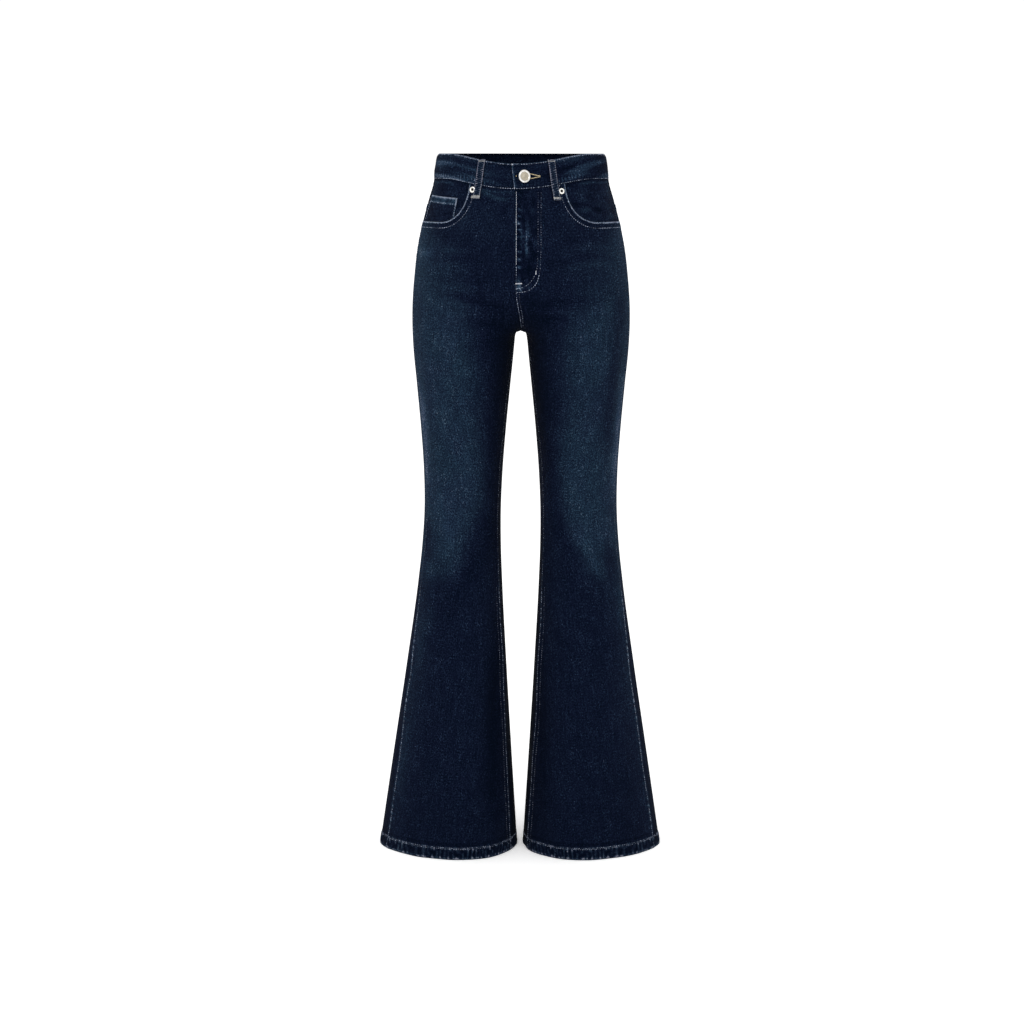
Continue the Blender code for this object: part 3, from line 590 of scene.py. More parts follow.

# Down each front: height in mm, turns where the fade starts and is full, wash on its dark and light sides.
# The dark side's wash is partly unfaded cloth and partly painted shade, where the legs shade each other's
# inner sides.
FADES: Mapping[Hand, tuple[tuple[float, ...], ...]] = {
    RIGHT: (
        (-40, 0.40, 0.95, 0.15, 0.90), (-120, 0.50, 0.95, 0.28, 1.45), (-150, 0.05, 1.00, -0.05, 1.35),
        (-180, 0.13, 0.98, 0.02, 1.40), (-210, 0.06, 0.74, 0.02, 1.05), (-240, 0.10, 0.50, -0.45, 1.05),
        (-280, 0.14, 0.54, -0.80, 1.07), (-330, 0.13, 0.52, -0.90, 1.03), (-380, 0.10, 0.54, -0.85, 1.03),
        (-430, 0.11, 0.50, -0.65, 1.03), (-480, 0.12, 0.45, -0.45, 1.03), (-530, 0.15, 0.45, -0.40, 1.06),
        (-580, 0.22, 0.58, -0.38, 1.02), (-610, 0.28, 0.62, -0.25, 0.98), (-640, 0.38, 0.68, 0.00, 0.85),
        (-670, 0.48, 0.85, 0.05, 0.40), (-700, 0.50, 0.95, 0.05, 0.50), (-740, 0.60, 1.00, 0.06, 0.85),
        (-800, 0.55, 1.00, 0.02, 0.90), (-900, 0.55, 1.00, 0.02, 0.70), (-1060, 0.65, 1.00, -0.08, 0.60),
    ),
    LEFT: (
        (-40, 0.40, 0.95, 0.15, 0.70), (-120, 0.55, 0.95, 0.12, 1.35), (-150, 0.10, 1.00, 0.03, 1.10),
        (-180, 0.10, 1.00, 0.02, 1.10), (-210, 0.06, 0.85, -0.10, 0.92), (-240, 0.10, 0.50, -0.50, 0.98),
        (-280, 0.12, 0.47, -0.60, 0.98), (-330, 0.16, 0.52, -0.60, 0.98), (-380, 0.15, 0.55, -0.60, 0.92),
        (-430, 0.13, 0.48, -0.50, 0.98), (-480, 0.20, 0.45, -0.10, 1.03), (-530, 0.25, 0.45, 0.05, 1.03),
        (-580, 0.30, 0.50, 0.00, 1.03), (-610, 0.33, 0.60, 0.00, 0.90), (-640, 0.38, 0.66, -0.02, 0.85),
        (-670, 0.48, 0.90, 0.04, 0.60), (-700, 0.58, 1.00, 0.04, 0.95), (-740, 0.60, 1.00, 0.02, 0.60),
        (-800, 0.58, 1.00, 0.00, 0.85), (-900, 0.60, 1.00, 0.00, 0.65), (-1060, 0.70, 1.00, -0.10, 0.60),
    ),
}


def folds(place: Place) -> tuple[Array, Array]:
    """All creases together: their depths, in metres, and their washes, which carry painted shade in the
    troughs and painted highlight on the ridges as well as real fading.
    """
    depth, wash = np.zeros(place.turn.shape), np.zeros(place.turn.shape)
    for fold in (Fold(*row) for row in FOLDS[place.side, place.hand]):
        share = fold.share(place)
        depth += fold.depth * MM * share
        # the creases' painted shade and highlight, with their real fading, go into the wash
        wash += fold.wash * share
    return depth, wash


def fades(place: Place) -> list[Array]:
    """The columns of the table of fades, but for its heights, at each place's height."""
    rows = np.array(FADES[place.hand])[::-1]
    return [np.interp(place.height, rows[:, 0] * MM, column) for column in rows[:, 1:].T]


@dataclass(frozen=True)
class SeamLine:
    """What washing does along a stitched seam: a groove, a plateau of folded-in cloth, and puckers."""

    plateau: float = 0.45 * MM
    width: float = 7.0 * MM
    groove: float = 0.5 * MM
    rows: tuple[float, ...] = (6.4 * MM,)
    pucker: float = 0.22 * MM
    pitch: float = PUCKER
    seed: int = 3
    pale: float = 0.55

    def lift(self, away: Array, along: Array) -> Array:
        """How far the cloth stands out, by its distance in from the seam, negative beyond it."""
        total = self.plateau * (1 - ramp(away, self.width, self.width + 2.6 * MM)) * ramp(away, -1.6 * MM, 0)
        total -= self.groove * bell(away, 1.0 * MM)
        total -= 0.22 * MM * sum(bell(away - row, 0.8 * MM) for row in self.rows)
        middle = self.width / 2
        return total + self.pucker * puckers(along, self.pitch, self.seed) * bell(away - middle, middle)

    def wash(self, away: Array, along: Array) -> Array:
        """The pale and dark dashes that the puckers' tops and hollows wear to."""
        wave = puckers(along, self.pitch, self.seed)
        near = (1 - ramp(away, self.width * 0.3, self.width * 0.9)) * ramp(away, -1.8 * MM, 0)
        top = self.pale * np.clip(wave, 0, 1) - 0.4 * self.pale * np.clip(-wave, 0, 1)
        return near * top + 0.25 * self.pale * bell(away, 1.2 * MM)


OUTSEAM = SeamLine(seed=11, pitch=12 * MM, pale=2.2)
INSEAM = SeamLine(seed=23, pitch=8 * MM, pale=1.7)
BACK_SEAM = SeamLine(plateau=0.2 * MM, rows=(), pucker=0.15 * MM, seed=31, pale=0.3)
RISE_SEAM = SeamLine(plateau=0.5 * MM, width=7.5 * MM, rows=(1.4 * MM, 6.6 * MM), seed=41, pale=0.35)
YOKE_SEAM = SeamLine(plateau=0.5 * MM, width=7.5 * MM, rows=(1.4 * MM, 6.6 * MM), seed=47, pale=0.5)
MOUTH = SeamLine(
    plateau=0.55 * MM, width=9.6 * MM, groove=0.25 * MM, rows=(1.5 * MM, 8.8 * MM), pucker=0.1 * MM, seed=53,
    pale=0.35,
)

# Spans of depth below the waist opening, in metres.
RISE_END = (0.272, 0.290)  # where the relief of the seams above the fork gives way to the leg seams'
RISE_WEAR_END = (0.262, 0.280)  # where their wear does
HIP_SEAM_END = (0.13, 0.20)  # where the side seam leaves the back panel's edge for the front
SIDE_PAINTED_SHADE = (0.62, 0.72)  # from where the cloth beyond the side seam's line on the flare is darkened: partly less worn, partly painted shade where the leg turns away
INNER_PAINTED_SHADE = (0.52, 0.62)  # and beyond the inner leg seam's, also partly painted shade


@dataclass(frozen=True)
class Layer:
    """A piece of cloth on the form: its lift and its wash at any place."""

    def lift(self, place: Place) -> Array:
        """How far the face stands out of the form."""
        return np.zeros(place.turn.shape)

    def wash(self, place: Place) -> Array:
        """How washed the face is."""
        return np.zeros(place.turn.shape)

    def face(self, place: Place, proud: Any = 0) -> Array:
        """Points of the face, moved out by proud."""
        points, out = FORM.frame(place)
        return points + out * (self.lift(place) + proud)[..., None]


def slack(place: Place) -> Array:
    """Broad slack in the cloth, fading out at the seams, which hold it taut."""
    seed = 100 + 10 * place.side.value + place.hand.value
    broad = Unevenness(70 * MM, seed).at(place.to_side, place.height * 0.55)
    small = Unevenness(24 * MM, seed + 5).at(place.to_side, place.height * 0.8)
    total = (0.35 + 0.5 * ramp(-place.height, 0.5, 0.8)) * broad + 0.10 * small
    return total * MM * ramp(np.minimum(place.distance, place.to_side), 0, 22 * MM)


def relief(place: Place) -> Array:
    """The slack and the creases' depths, in metres."""
    return slack(place) + folds(place)[0]


def below_waist(place: Place) -> Array:
    """How far below the waist seam each place is."""
    return CUT.waist_seam(place.side, place.turn) - place.height


def waist_pulls(place: Place) -> Array:
    """Short upright pulls just under the waist seam, from -1 to 1."""
    return puckers(place.distance, 5.2 * MM, seed=83) * bell(below_waist(place) - 4 * MM, 5 * MM)


def hem_rope(place: Place) -> tuple[Array, Array]:
    """How far above the hem each place is, and the slanting roping puckers there."""
    up = place.height - CUT.hem
    return up, puckers(place.distance + 0.25 * up, PUCKER, seed=61)


def hem_lift(place: Place) -> Array:
    """The turned-up hem: a second layer, its stitched row pulled in, and roping puckers below it."""
    up, rope = hem_rope(place)
    window = ramp(up, 0, 4 * MM) * (1 - ramp(up, 15 * MM, 21 * MM))
    layer = 0.25 * (1 - ramp(up, 19 * MM, 22 * MM))
    return (layer - 0.35 * bell(up - 18 * MM, 1.5 * MM) + 0.6 * rope * window) * MM


def hem_wash(place: Place) -> Array:
    """Worn ridges, stitched row and edge of the hem, and a painted shadow just above the turned-up hem."""
    up, rope = hem_rope(place)
    window = ramp(up, 0.5 * MM, 3 * MM) * (1 - ramp(up, 16 * MM, 20 * MM))
    corner = bell(np.minimum(place.distance, place.to_side), 16 * MM)
    flecks = Unevenness(6 * MM, seed=63, waves=24).at(place.distance, up * 0.6)
    worn = np.clip(1.9 * rope + 1.1 * flecks - 0.35, -0.9, 1.8) * (1 + 0.5 * corner)
    row = bell(up - 18 * MM, 3.0 * MM) * np.clip(1.1 + 0.9 * flecks, 0, 2.2)
    # painted shadow: a dark strip just above the turned-up hem
    row -= 0.8 * bell(up - 23.5 * MM, 2.4 * MM)
    return window * worn + row + bell(up - 1.7 * MM, 2.3 * MM) * np.clip(2.0 + 0.9 * flecks, 0.6, 3)


def greyed(place: Place) -> Array:
    """1 where the cloth has worn to grey rather than to blue: the hem."""
    return 1 - ramp(place.height - CUT.hem, 19 * MM, 22 * MM)


@dataclass(frozen=True)
class FrontLayer(Layer):
    """The front panels: fly, pocket mouths, whiskers, faded thighs, flared legs."""

    def fly_share(self, place: Place) -> Array:
        """1 on the fly of the left front, inside its curved stitching; 0 beyond it."""
        outer = CUT.fly_path(outer=True)[::-1]
        edge = np.interp(place.height, outer[:, 1], outer[:, 0], left=0)
        return 1 - ramp(place.distance - edge, -1 * MM, 3 * MM)

    def rungs(self, height: Array) -> Array:
        """The fly's rungs over the zip, from -1 to 1."""
        return puckers(height, 11.5 * MM, seed=71)

    def from_row(self, place: Place, outer: bool) -> Array:
        """Distance from one of the fly's curved rows."""
        return path_distance(place.distance, place.height, CUT.fly_path(outer))[0]

    def violet(self, place: Place) -> Array:
        """1 on the strip down each outer thigh where the dye has a redder blue; the wash also paints it
        lighter, a painted highlight of light grazing the outer thigh.
        """
        z = place.height
        return bell(place.turn - 0.862, 0.062) * ramp(-z, 0.30, 0.40) * (1 - ramp(-z, 0.47, 0.56))

    def mouth(self, place: Place) -> tuple[Array, Place, Array, Array]:
        """The pocket mouth's surroundings: which places they are, the distances from it, and along it."""
        near = (place.height > -0.135) & (place.turn > 0.28)
        spot = place.among(near)
        away, share = path_distance(spot.distance, spot.height, CUT.scoop_path(place.hand))
        return near, spot, away, share * 150 * MM

    def seams(self, place: Place) -> tuple[Array, Array]:
        """Distances in from the side seam's line and from the inner leg seam's line."""
        turns = (CUT.seam_turn(inner, place.hand, place.height) for inner in (False, True))
        side, inner = (FORM.place(place.side, place.hand, turn, place.height).distance for turn in turns)
        return side - place.distance, place.distance - inner

    def lift(self, place: Place) -> Array:
        """The slack cloth, its seams, pocket mouth, fly, creases and hem."""
        z = place.height
        from_side, from_inner = self.seams(place)
        inseam = ramp(-z, *RISE_END)
        above = 1 - inseam
        total = relief(place) + OUTSEAM.lift(from_side, z) * ramp(-z, 0.095, 0.115)
        total += INSEAM.lift(from_inner, z) * inseam
        if place.hand is LEFT:
            fly = self.fly_share(place)
            ladder = self.rungs(z) * bell(place.distance - 5.5 * MM, 3.5 * MM)
            rows = sum(bell(self.from_row(place, outer), 0.9 * MM) for outer in (True, False))
            total += above * (fly * (0.9 + 0.28 * ladder) - 0.25 * rows) * MM
            total += above * (1 - fly) * RISE_SEAM.lift(place.distance, z) * ramp(-z, 0.198, 0.206)
        else:
            total -= above * 0.35 * MM * bell(place.distance, 1.2 * MM)
        near, spot, away, along = self.mouth(place)
        total[near] += MOUTH.lift(away, along) * ramp(spot.turn, 0.30, 0.34)
        return total + 0.18 * MM * waist_pulls(place) + hem_lift(place)

    def fly_wash(self, place: Place, plain: Array) -> Array:
        """The fly's own wash over the panel's: rungs and streaks, painted shade over its lower part, flecks
        at its row, a worn edge.
        """
        z, across = place.height, place.distance
        above = 1 - ramp(-z, *RISE_WEAR_END)
        fly = self.fly_share(place) * above
        rung = np.clip(2.6 * self.rungs(z) - 0.5, -0.5, 1.2) * bell(across - 5.2 * MM, 3.0 * MM)
        streak = 0.7 * bell(across - 8.5 * MM, 2.0 * MM) + bell(across - 16.3 * MM, 2.2 * MM)
        streak *= bell(z + 0.129, 24 * MM)
        # painted shade: a dark patch over the fly's lower part, with no hollow in the cloth under it
        hollow_shade = bell(across - 18 * MM, 12 * MM) * bell(z + 0.165, 16 * MM)
        uneven = Unevenness(13 * MM, seed=73).at(across, 0.5 * z)
        total = plain * (1 - fly) + fly * (1.9 * rung + 2.2 * streak - 0.7 * hollow_shade - 0.12 + 0.45 * uneven)
        specks = 0.10 + 0.95 * np.clip(puckers(z + across, 5 * MM, seed=77), -0.5, 1)
        edge = (2.0 - 1.1 * ramp(-z, 0.158, 0.178)) * ramp(-z, 0.055, 0.062) * bell(across, 0.9 * MM)
        return total + above * (specks * bell(self.from_row(place, True), 5 * MM) + edge)

    def wash(self, place: Place) -> Array:
        """Fades: bright thighs with dark inner sides, partly painted shade; whiskers and creases with
        painted shade and highlight; a painted highlight down the outer thigh; worn seams and edges, with
        painted shade beyond the seam lines.
        """
        z = place.height
        start, full, dark, level = fades(place)
        # the dark inner sides are partly painted shade between the legs
        total = dark + (level - dark) * ramp((place.turn - start) / (full - start), 0, 1)
        # violet adds a painted highlight down the outer thigh, over the redder cast
        total += folds(place)[1] + 0.75 * self.violet(place)
        if place.hand is LEFT:
            total -= 0.58 * bell(place.turn - 0.73, 0.07) * ramp(-z, 0.19, 0.23) * (1 - ramp(-z, 0.40, 0.50))
        spans = ((0.62, 0.72), SIDE_PAINTED_SHADE), ((0.50, 0.70), INNER_PAINTED_SHADE)
        for seam, away, (worn, beyond) in zip((OUTSEAM, INSEAM), self.seams(place), spans):
            total += (seam.wash(away, z) + 0.4 * bell(away, 1.6 * MM)) * ramp(-z, *worn)
            # painted shade: the cloth beyond each seam's line, where the leg turns away from the light, is
            # darkened; partly it is also less worn
            total -= 0.9 * (1 - ramp(away, -6 * MM, -1.5 * MM)) * ramp(-z, *beyond)
        if place.hand is LEFT:
            total = self.fly_wash(place, total)
        near, _, away, along = self.mouth(place)
        total[near] += MOUTH.wash(away, along) * 0.6 + 2.6 * bell(away - 0.3 * MM, 1.3 * MM)
        total[near] -= 0.45 * bell(away - 4.6 * MM, 2 * MM)
        below = below_waist(place)
        total -= 0.25 * bell(below, 3 * MM)
        if place.hand is RIGHT:
            total += 0.8 * bell(below - 4.6 * MM, 1.0 * MM)
        return total + hem_wash(place)


@dataclass(frozen=True)
class BackLayer(Layer):
    """The back panels: worn seat, faded thighs, creased knees, flared legs."""

    def lift(self, place: Place) -> Array:
        """The slack cloth, its seams, creases and hem."""
        z = place.height
        total = relief(place)
        total += BACK_SEAM.lift(place.to_side, z) * (1 - ramp(-z, *HIP_SEAM_END))
        if place.hand is LEFT:
            total += RISE_SEAM.lift(place.distance, z) * (1 - ramp(-z, *RISE_END))
        below = np.maximum(CUT.yoke_seam(place.turn) - z, 0)
        return total + YOKE_SEAM.lift(below, place.distance) + hem_lift(place)

    def wash(self, place: Place) -> Array:
        """Fades on the seat and thighs, pale wear along the seams; at the leg seams, the front's wash with
        its painted shade beyond the seam lines.
        """
        z = place.height
        level = np.interp(
            z, np.array((-1100, -740, -660, -560, -420, -300, -240, -180, -100)) * MM,
            (0, 0.05, 0.35, 0.75, 0.85, 0.75, 0.60, 0.80, 0.45),
        )
        total = level * ramp(place.turn, 0.10, 0.42) * (1 - 0.45 * ramp(place.turn, 0.75, 1.0))
        total -= 0.30 * (1 - ramp(place.turn, 0.08, 0.28)) * ramp(-z, 0.22, 0.28)
        _, _, inner, side = fades(place)
        # the front's painted shade beyond the seam lines, carried round onto the back
        side = side - 0.9 * ramp(-z, *SIDE_PAINTED_SHADE)
        inner = inner - 0.9 * ramp(-z, *INNER_PAINTED_SHADE)
        total += (side - total) * ramp(place.turn, 0.66, 1.0)
        total += (inner - total) * (1 - ramp(place.turn, 0, 0.22)) * ramp(-z, 0.24, 0.29)
        total += folds(place)[1]
        total += BACK_SEAM.wash(place.to_side, z) * (1 - ramp(-z, *HIP_SEAM_END))
        total += YOKE_SEAM.wash(np.maximum(CUT.yoke_seam(place.turn) - z, 0), place.distance)
        if place.hand is LEFT:
            total += RISE_SEAM.wash(place.distance, z) * (1 - ramp(-z, *RISE_WEAR_END))
        return total + hem_wash(place)


@dataclass(frozen=True)
class YokeLayer(Layer):
    """The yokes, over the seat."""

    def pulls(self, place: Place) -> tuple[Array, Array]:
        """The puckers under the band, and where they are."""
        return puckers(place.distance, 5.5 * MM, seed=91), bell(below_waist(place) - 4 * MM, 6 * MM)

    def lift(self, place: Place) -> Array:
        """Puckers under the band and along the seams."""
        pulls, near = self.pulls(place)
        total = 0.2 * MM * pulls * near + 0.2 * slack(place) + BACK_SEAM.lift(place.to_side, place.height)
        total -= 0.45 * MM * bell(place.height - CUT.yoke_seam(place.turn), 1.0 * MM)
        if place.hand is LEFT:
            total += RISE_SEAM.lift(place.distance, place.height)
        return total

    def wash(self, place: Place) -> Array:
        """An even mid wash with pale puckers."""
        pulls, near = self.pulls(place)
        total = 0.42 + 0.35 * np.clip(pulls, -0.5, 1) * near
        if place.hand is LEFT:
            total += RISE_SEAM.wash(place.distance, place.height)
        return total


@dataclass(frozen=True)
class FacingLayer(Layer):
    """The denim that shows inside each pocket mouth: darker, with a crease below the waist on the left."""

    base: float = -(DENIM + SEAM_GAP + LAYER_GAP)
    crease: tuple[tuple[float, float], ...] = ((76, -78), (98, -75), (118, -77), (138, -85))  # mm

    def from_crease(self, place: Place) -> Array:
        """Distance from the crease."""
        return path_distance(place.distance, place.height, rounded(np.array(self.crease) * MM, 16))[0]

    def lift(self, place: Place) -> Array:
        """Slack, pulls under the waist seam, and the crease."""
        total = self.base + 0.12 * MM * Unevenness(26 * MM, seed=7).at(place.distance, place.height)
        if place.hand is LEFT:
            total -= 0.3 * MM * bell(self.from_crease(place), 3 * MM)
        return total + 0.12 * MM * waist_pulls(place)

    def wash(self, place: Place) -> Array:
        """Barely washed, paler towards the side seam; the left crease has painted shade in it and a painted
        highlight beside it.
        """
        total = 0.12 + 0.30 * ramp(place.turn, 0.7, 1.0)
        total += 0.30 * Unevenness(15 * MM, seed=9).at(place.distance * 0.5, place.height)
        if place.hand is LEFT:
            crease = self.from_crease(place)
            # painted highlight beside the crease and painted shade in it
            total += 0.3 * bell(crease - 7 * MM, 3 * MM) - 0.5 * bell(crease, 3.5 * MM)
        below = below_waist(place)
        total += bell(below - 4.6 * MM, 1.3 * MM) * ramp(place.turn, 0.40, 0.6)
        return total - 0.35 * bell(below, 3 * MM)


@dataclass(frozen=True)
class BandLayer(Layer):
    """The waistband: doubled denim, slightly full between its two edges, wrinkled where it bends."""

    slit: tuple[float, float] = (13.0 * MM, 36.5 * MM)  # of the buttonhole, from the centre front
    slit_height: float = -33.6 * MM

    def roll(self, down: Array) -> Array:
        """How far the band's top edge rolls inwards."""
        return -2.4 * MM * (1 - np.clip(down / (6 * MM), 0, 1)) ** 2.2

    def slit_half(self, distance: Array) -> Array:
        """Half the buttonhole's opening: widest round the button's shank, narrowing to its far point."""
        start, end = self.slit
        share = np.clip((distance - start) / (end - start), 0, 1)
        return 5.2 * MM * (1 - share) ** 1.2 * ramp(share, 0, 0.25)

    def in_slit(self, place: Place) -> Array:
        """1 inside the buttonhole's opening, fading out just beyond its edge."""
        if place.side is not FRONT or place.hand is not LEFT:
            return np.zeros(place.turn.shape)
        away = np.abs(place.height - self.slit_height) - self.slit_half(place.distance)
        return 1 - ramp(away, -0.2 * MM, 0.8 * MM)

    def parts(self, place: Place) -> tuple[Array, Array, Array]:
        """How far down the band each place is, its signed distance round from the centre front, puckers."""
        down = CUT.top_edge(place.side, place.turn) - place.height
        start = 0 if place.side is FRONT else 0.36
        round_it = place.hand.value * abs(start - place.distance)
        return down, round_it, puckers(round_it + 0.15 * down, 5.4 * MM, seed=97)

    def lift(self, place: Place) -> Array:
        """Full in the middle, pulled in at its stitched rows, puckered above the waist seam."""
        down, round_it, pulls = self.parts(place)
        middle = np.sin(math.pi * np.clip(down / CUT.band_height, 0, 1))
        total = CUT.band_proud + 0.45 * MM * middle**0.6 + self.roll(down)
        total -= 0.25 * MM * (bell(down - 2.6 * MM, 0.9 * MM) + bell(down - 35.6 * MM, 0.9 * MM))
        slant = Unevenness(34 * MM, seed=113).at(round_it * 0.45, down * 1.6 + 0.2 * np.abs(round_it))
        slant *= ramp(np.abs(round_it), 25 * MM, 60 * MM) * np.sin(math.pi * down / CUT.band_height)
        total += 0.22 * MM * pulls * bell(down - 30 * MM, 4.5 * MM) + 0.35 * MM * slant
        return total - 0.6 * MM * self.in_slit(place)

    def wash(self, place: Place) -> Array:
        """Worn edges, pale puckers above the waist seam, and pale streaks along the wrinkles; the
        buttonhole's opening is painted dark, a painted shade where the band is solid.
        """
        down, round_it, pulls = self.parts(place)
        streak = Unevenness(26 * MM, seed=113).at(round_it * 0.30, down * 2.0 + 0.2 * np.abs(round_it))
        away = ramp(np.abs(round_it), 20 * MM, 70 * MM)
        right = (1 - ramp(round_it, -40 * MM, 40 * MM)) * (place.side is FRONT)
        total = 0.06 + (0.20 + 0.60 * right) * away + (0.25 + 0.48 * away) * np.clip(streak, -1, 1.2)
        total += (0.7 + 0.9 * away) * (0.2 + np.clip(pulls, -0.7, 1)) * bell(down - 32 * MM, 3.4 * MM)
        total += 1.9 * bell(down, 1.2 * MM) - 0.3 * bell(down - CUT.band_height, 1.5 * MM)
        # painted shade: the buttonhole's opening is darkened, since the band behind it is not cut through
        return total - 0.7 * self.in_slit(place)


# ---------------------------------------------------------------- meshes


class Shell(NamedTuple):
    """A wall of cloth as grids: points of its face and back, the cloth's coordinates, how washed it is."""

    face: Array
    back: Array
    cloth: Array
    wash: Array

    @classmethod
    def joined(cls, shells: Sequence["Shell"]) -> "Shell":
        """Shells that lie side by side, as one."""
        return cls(*(np.concatenate(grids, axis=1) for grids in zip(*shells)))


def flat_cut(grid: Array) -> tuple[float, float, float]:
    """A cloth grid's longest row, its longest column and its area, in metres and square metres."""
    rows = np.linalg.norm(np.diff(grid, axis=1), axis=2).sum(axis=1)
    columns = np.linalg.norm(np.diff(grid, axis=0), axis=2).sum(axis=0)
    halves = np.cross(grid[1:, 1:] - grid[:-1, :-1], grid[1:, :-1] - grid[:-1, 1:])
    return float(rows.max()), float(columns.max()), float(np.linalg.norm(halves, axis=2).sum() / 2)


def wrapped(grid: Array) -> Array:
    """A grid whose first column comes again after its last."""
    return np.concatenate([grid, grid[:, :1]], axis=1)


def quads(grid: Array) -> Array:
    """Each cell's corners in a grid of indices, in order."""
    corners = (grid[:-1, :-1], grid[1:, :-1], grid[1:, 1:], grid[:-1, 1:])
    return np.stack([corner.reshape(-1) for corner in corners], axis=1)


def edge_strip(fine: Array, coarse: Array) -> Array:
    """Triangles between an edge and one with half as many steps: three to each of its longer steps."""
    a, b, c, p, q = fine[:-2:2], fine[1:-1:2], fine[2::2], coarse[:-1], coarse[1:]
    return np.concatenate([np.stack(t, axis=1) for t in ((a, b, p), (b, q, p), (b, c, q))])


def wall_faces(rows: int, columns: int, closed: bool) -> tuple[Array, Array]:
    """Faces of a wall whose inner grid has half the outer grid's steps.

    Args:
        rows: rows of the outer grid, an odd number.
        columns: columns of the outer grid, odd, or even where it is closed.
        closed: whether the last column meets the first.

    Returns:
        Quads and triangles, as indices into the outer points followed by the inner ones.
    """
    outer = np.arange(rows * columns).reshape(rows, columns)
    inner = np.arange(outer[::2, ::2].size).reshape(outer[::2, ::2].shape) + outer.size
    if closed:
        outer, inner = wrapped(outer), wrapped(inner)
    strips = [edge_strip(outer[0], inner[0]), edge_strip(outer[-1], inner[-1])[:, ::-1]]
    if not closed:
        strips += [edge_strip(outer[:, -1], inner[:, -1]), edge_strip(outer[:, 0], inner[:, 0])[:, ::-1]]
    return np.concatenate([quads(outer), quads(inner)[:, ::-1]]), np.concatenate(strips)


def mesh_object(name: str, points: Array, faces: Sequence[Array], sharp: float = 40) -> Object:
    """A smooth-shaded object from points and groups of faces, facing out.

    Args:
        name: the object's name.
        points: its vertices, in metres.
        faces: arrays of faces, each with one number of corners.
        sharp: the angle in degrees above which an edge is drawn sharp.

    Returns:
        The new object, linked to the scene, at the origin.
    """
    mesh = bpy.data.meshes.new(name)
    corners = [face for group in faces for face in group.tolist()]
    mesh.from_pydata(points.reshape(-1, 3).tolist(), [], corners)
    mesh.shade_smooth()
    mesh.set_sharp_from_angle(angle=math.radians(sharp))
    return linked(name, mesh)


def linked(name: str, data: ID) -> Object:
    """A new object of some data, in the scene."""
    made = bpy.data.objects.new(name, data)
    bpy.context.scene.collection.objects.link(made)
    return made


def set_attribute(made: Object, name: str, values: Any) -> None:
    """Stores a number at each vertex, from an array or from one number for all."""
    values = np.broadcast_to(np.asarray(values, np.float32).ravel(), len(made.data.vertices))
    made.data.attributes.new(name, "FLOAT", "POINT").data.foreach_set("value", values.copy())


def set_uv(made: Object, coordinates: Array) -> None:
    """Stores the cloth's own coordinates, in metres, as the UV map "cloth"."""
    corners = np.empty(len(made.data.loops), np.int32)
    made.data.loops.foreach_get("vertex_index", corners)
    layer = made.data.uv_layers.new(name="cloth")
    layer.data.foreach_set("uv", coordinates[corners].astype(np.float32).ravel())


def declare(made: Object, material: Material, node: str | None = None) -> None:
    """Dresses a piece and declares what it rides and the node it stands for.

    Args:
        made: the piece.
        material: its finish.
        node: the node that it replaces, if it does.
    """
    made.data.materials.append(material)
    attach(made, "root")
    if node:
        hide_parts(node)
    log.info("%s: %d vertices", made.name, len(made.data.vertices))


@dataclass
class ClothPiece:
    """One piece of cloth: a wall whose inner side has half the steps and the even wash inside."""

    name: str
    node: str
    shell: Shell
    inside: float
    material: Material
    slot: str = "denim"
    facing: int = 1
    closed: bool = False
    hangs_from: tuple[str, ...] = ("waistband",)

    def both(self, outer: Array, inner: Array) -> Array:
        """Values on the face's grid followed by every other one of those on the back's."""
        size = math.prod(outer.shape[2:])
        return np.concatenate([outer.reshape(-1, size), inner[::2, ::2].reshape(-1, size)])

    def build(self) -> Object:
        face, back, cloth, wash = self.shell
        groups = wall_faces(*face.shape[:2], self.closed)
        if self.facing < 0:
            groups = [faces[:, ::-1] for faces in groups]
        made = mesh_object(self.name, self.both(face, back), groups)
        set_uv(made, self.both(cloth, cloth))
        set_attribute(made, "wash", self.both(wash, np.full(wash.shape, self.inside)))
        declare(made, self.material, self.node)
        width, length, area = flat_cut(wrapped(face) if self.closed else face)
        area = min(area, width * length)
        log.info("    cut %.0f x %.0f mm, %.4f square metres", width / MM, length / MM, area)
        return made


# ---------------------------------------------------------------- finishes


def linear(hex_colour: str) -> tuple[float, float, float, float]:
    """An sRGB colour such as "1b283a" as linear red, green, blue and an alpha of 1."""
    parts = (int(hex_colour[i : i + 2], 16) / 255 for i in (0, 2, 4))
    return (*(p / 12.92 if p <= 0.04045 else ((p + 0.055) / 1.055) ** 2.4 for p in parts), 1.0)


def add(
    tree: NodeTree, kind: str, inputs: Mapping[Any, Any] | None = None, **settings: Any
) -> Node:
    """Adds a shader node.

    Args:
        tree: the material's node tree.
        kind: the node's type, without its ShaderNode prefix.
        inputs: values or output sockets for its inputs, by name or number.
        settings: its other settings.

    Returns:
        The new node.
    """
    made = tree.nodes.new("ShaderNode" + kind)
    for name, value in settings.items():
        setattr(made, name, value)
    for name, value in (inputs or {}).items():
        if isinstance(value, NodeSocket):
            tree.links.new(value, made.inputs[name])
        else:
            made.inputs[name].default_value = value
    return made


def new_material(name: str) -> tuple[Material, NodeTree]:
    """An empty node material and its tree."""
    material = bpy.data.materials.new(name)
    material.use_nodes = True
    material.node_tree.nodes.clear()
    return material, material.node_tree


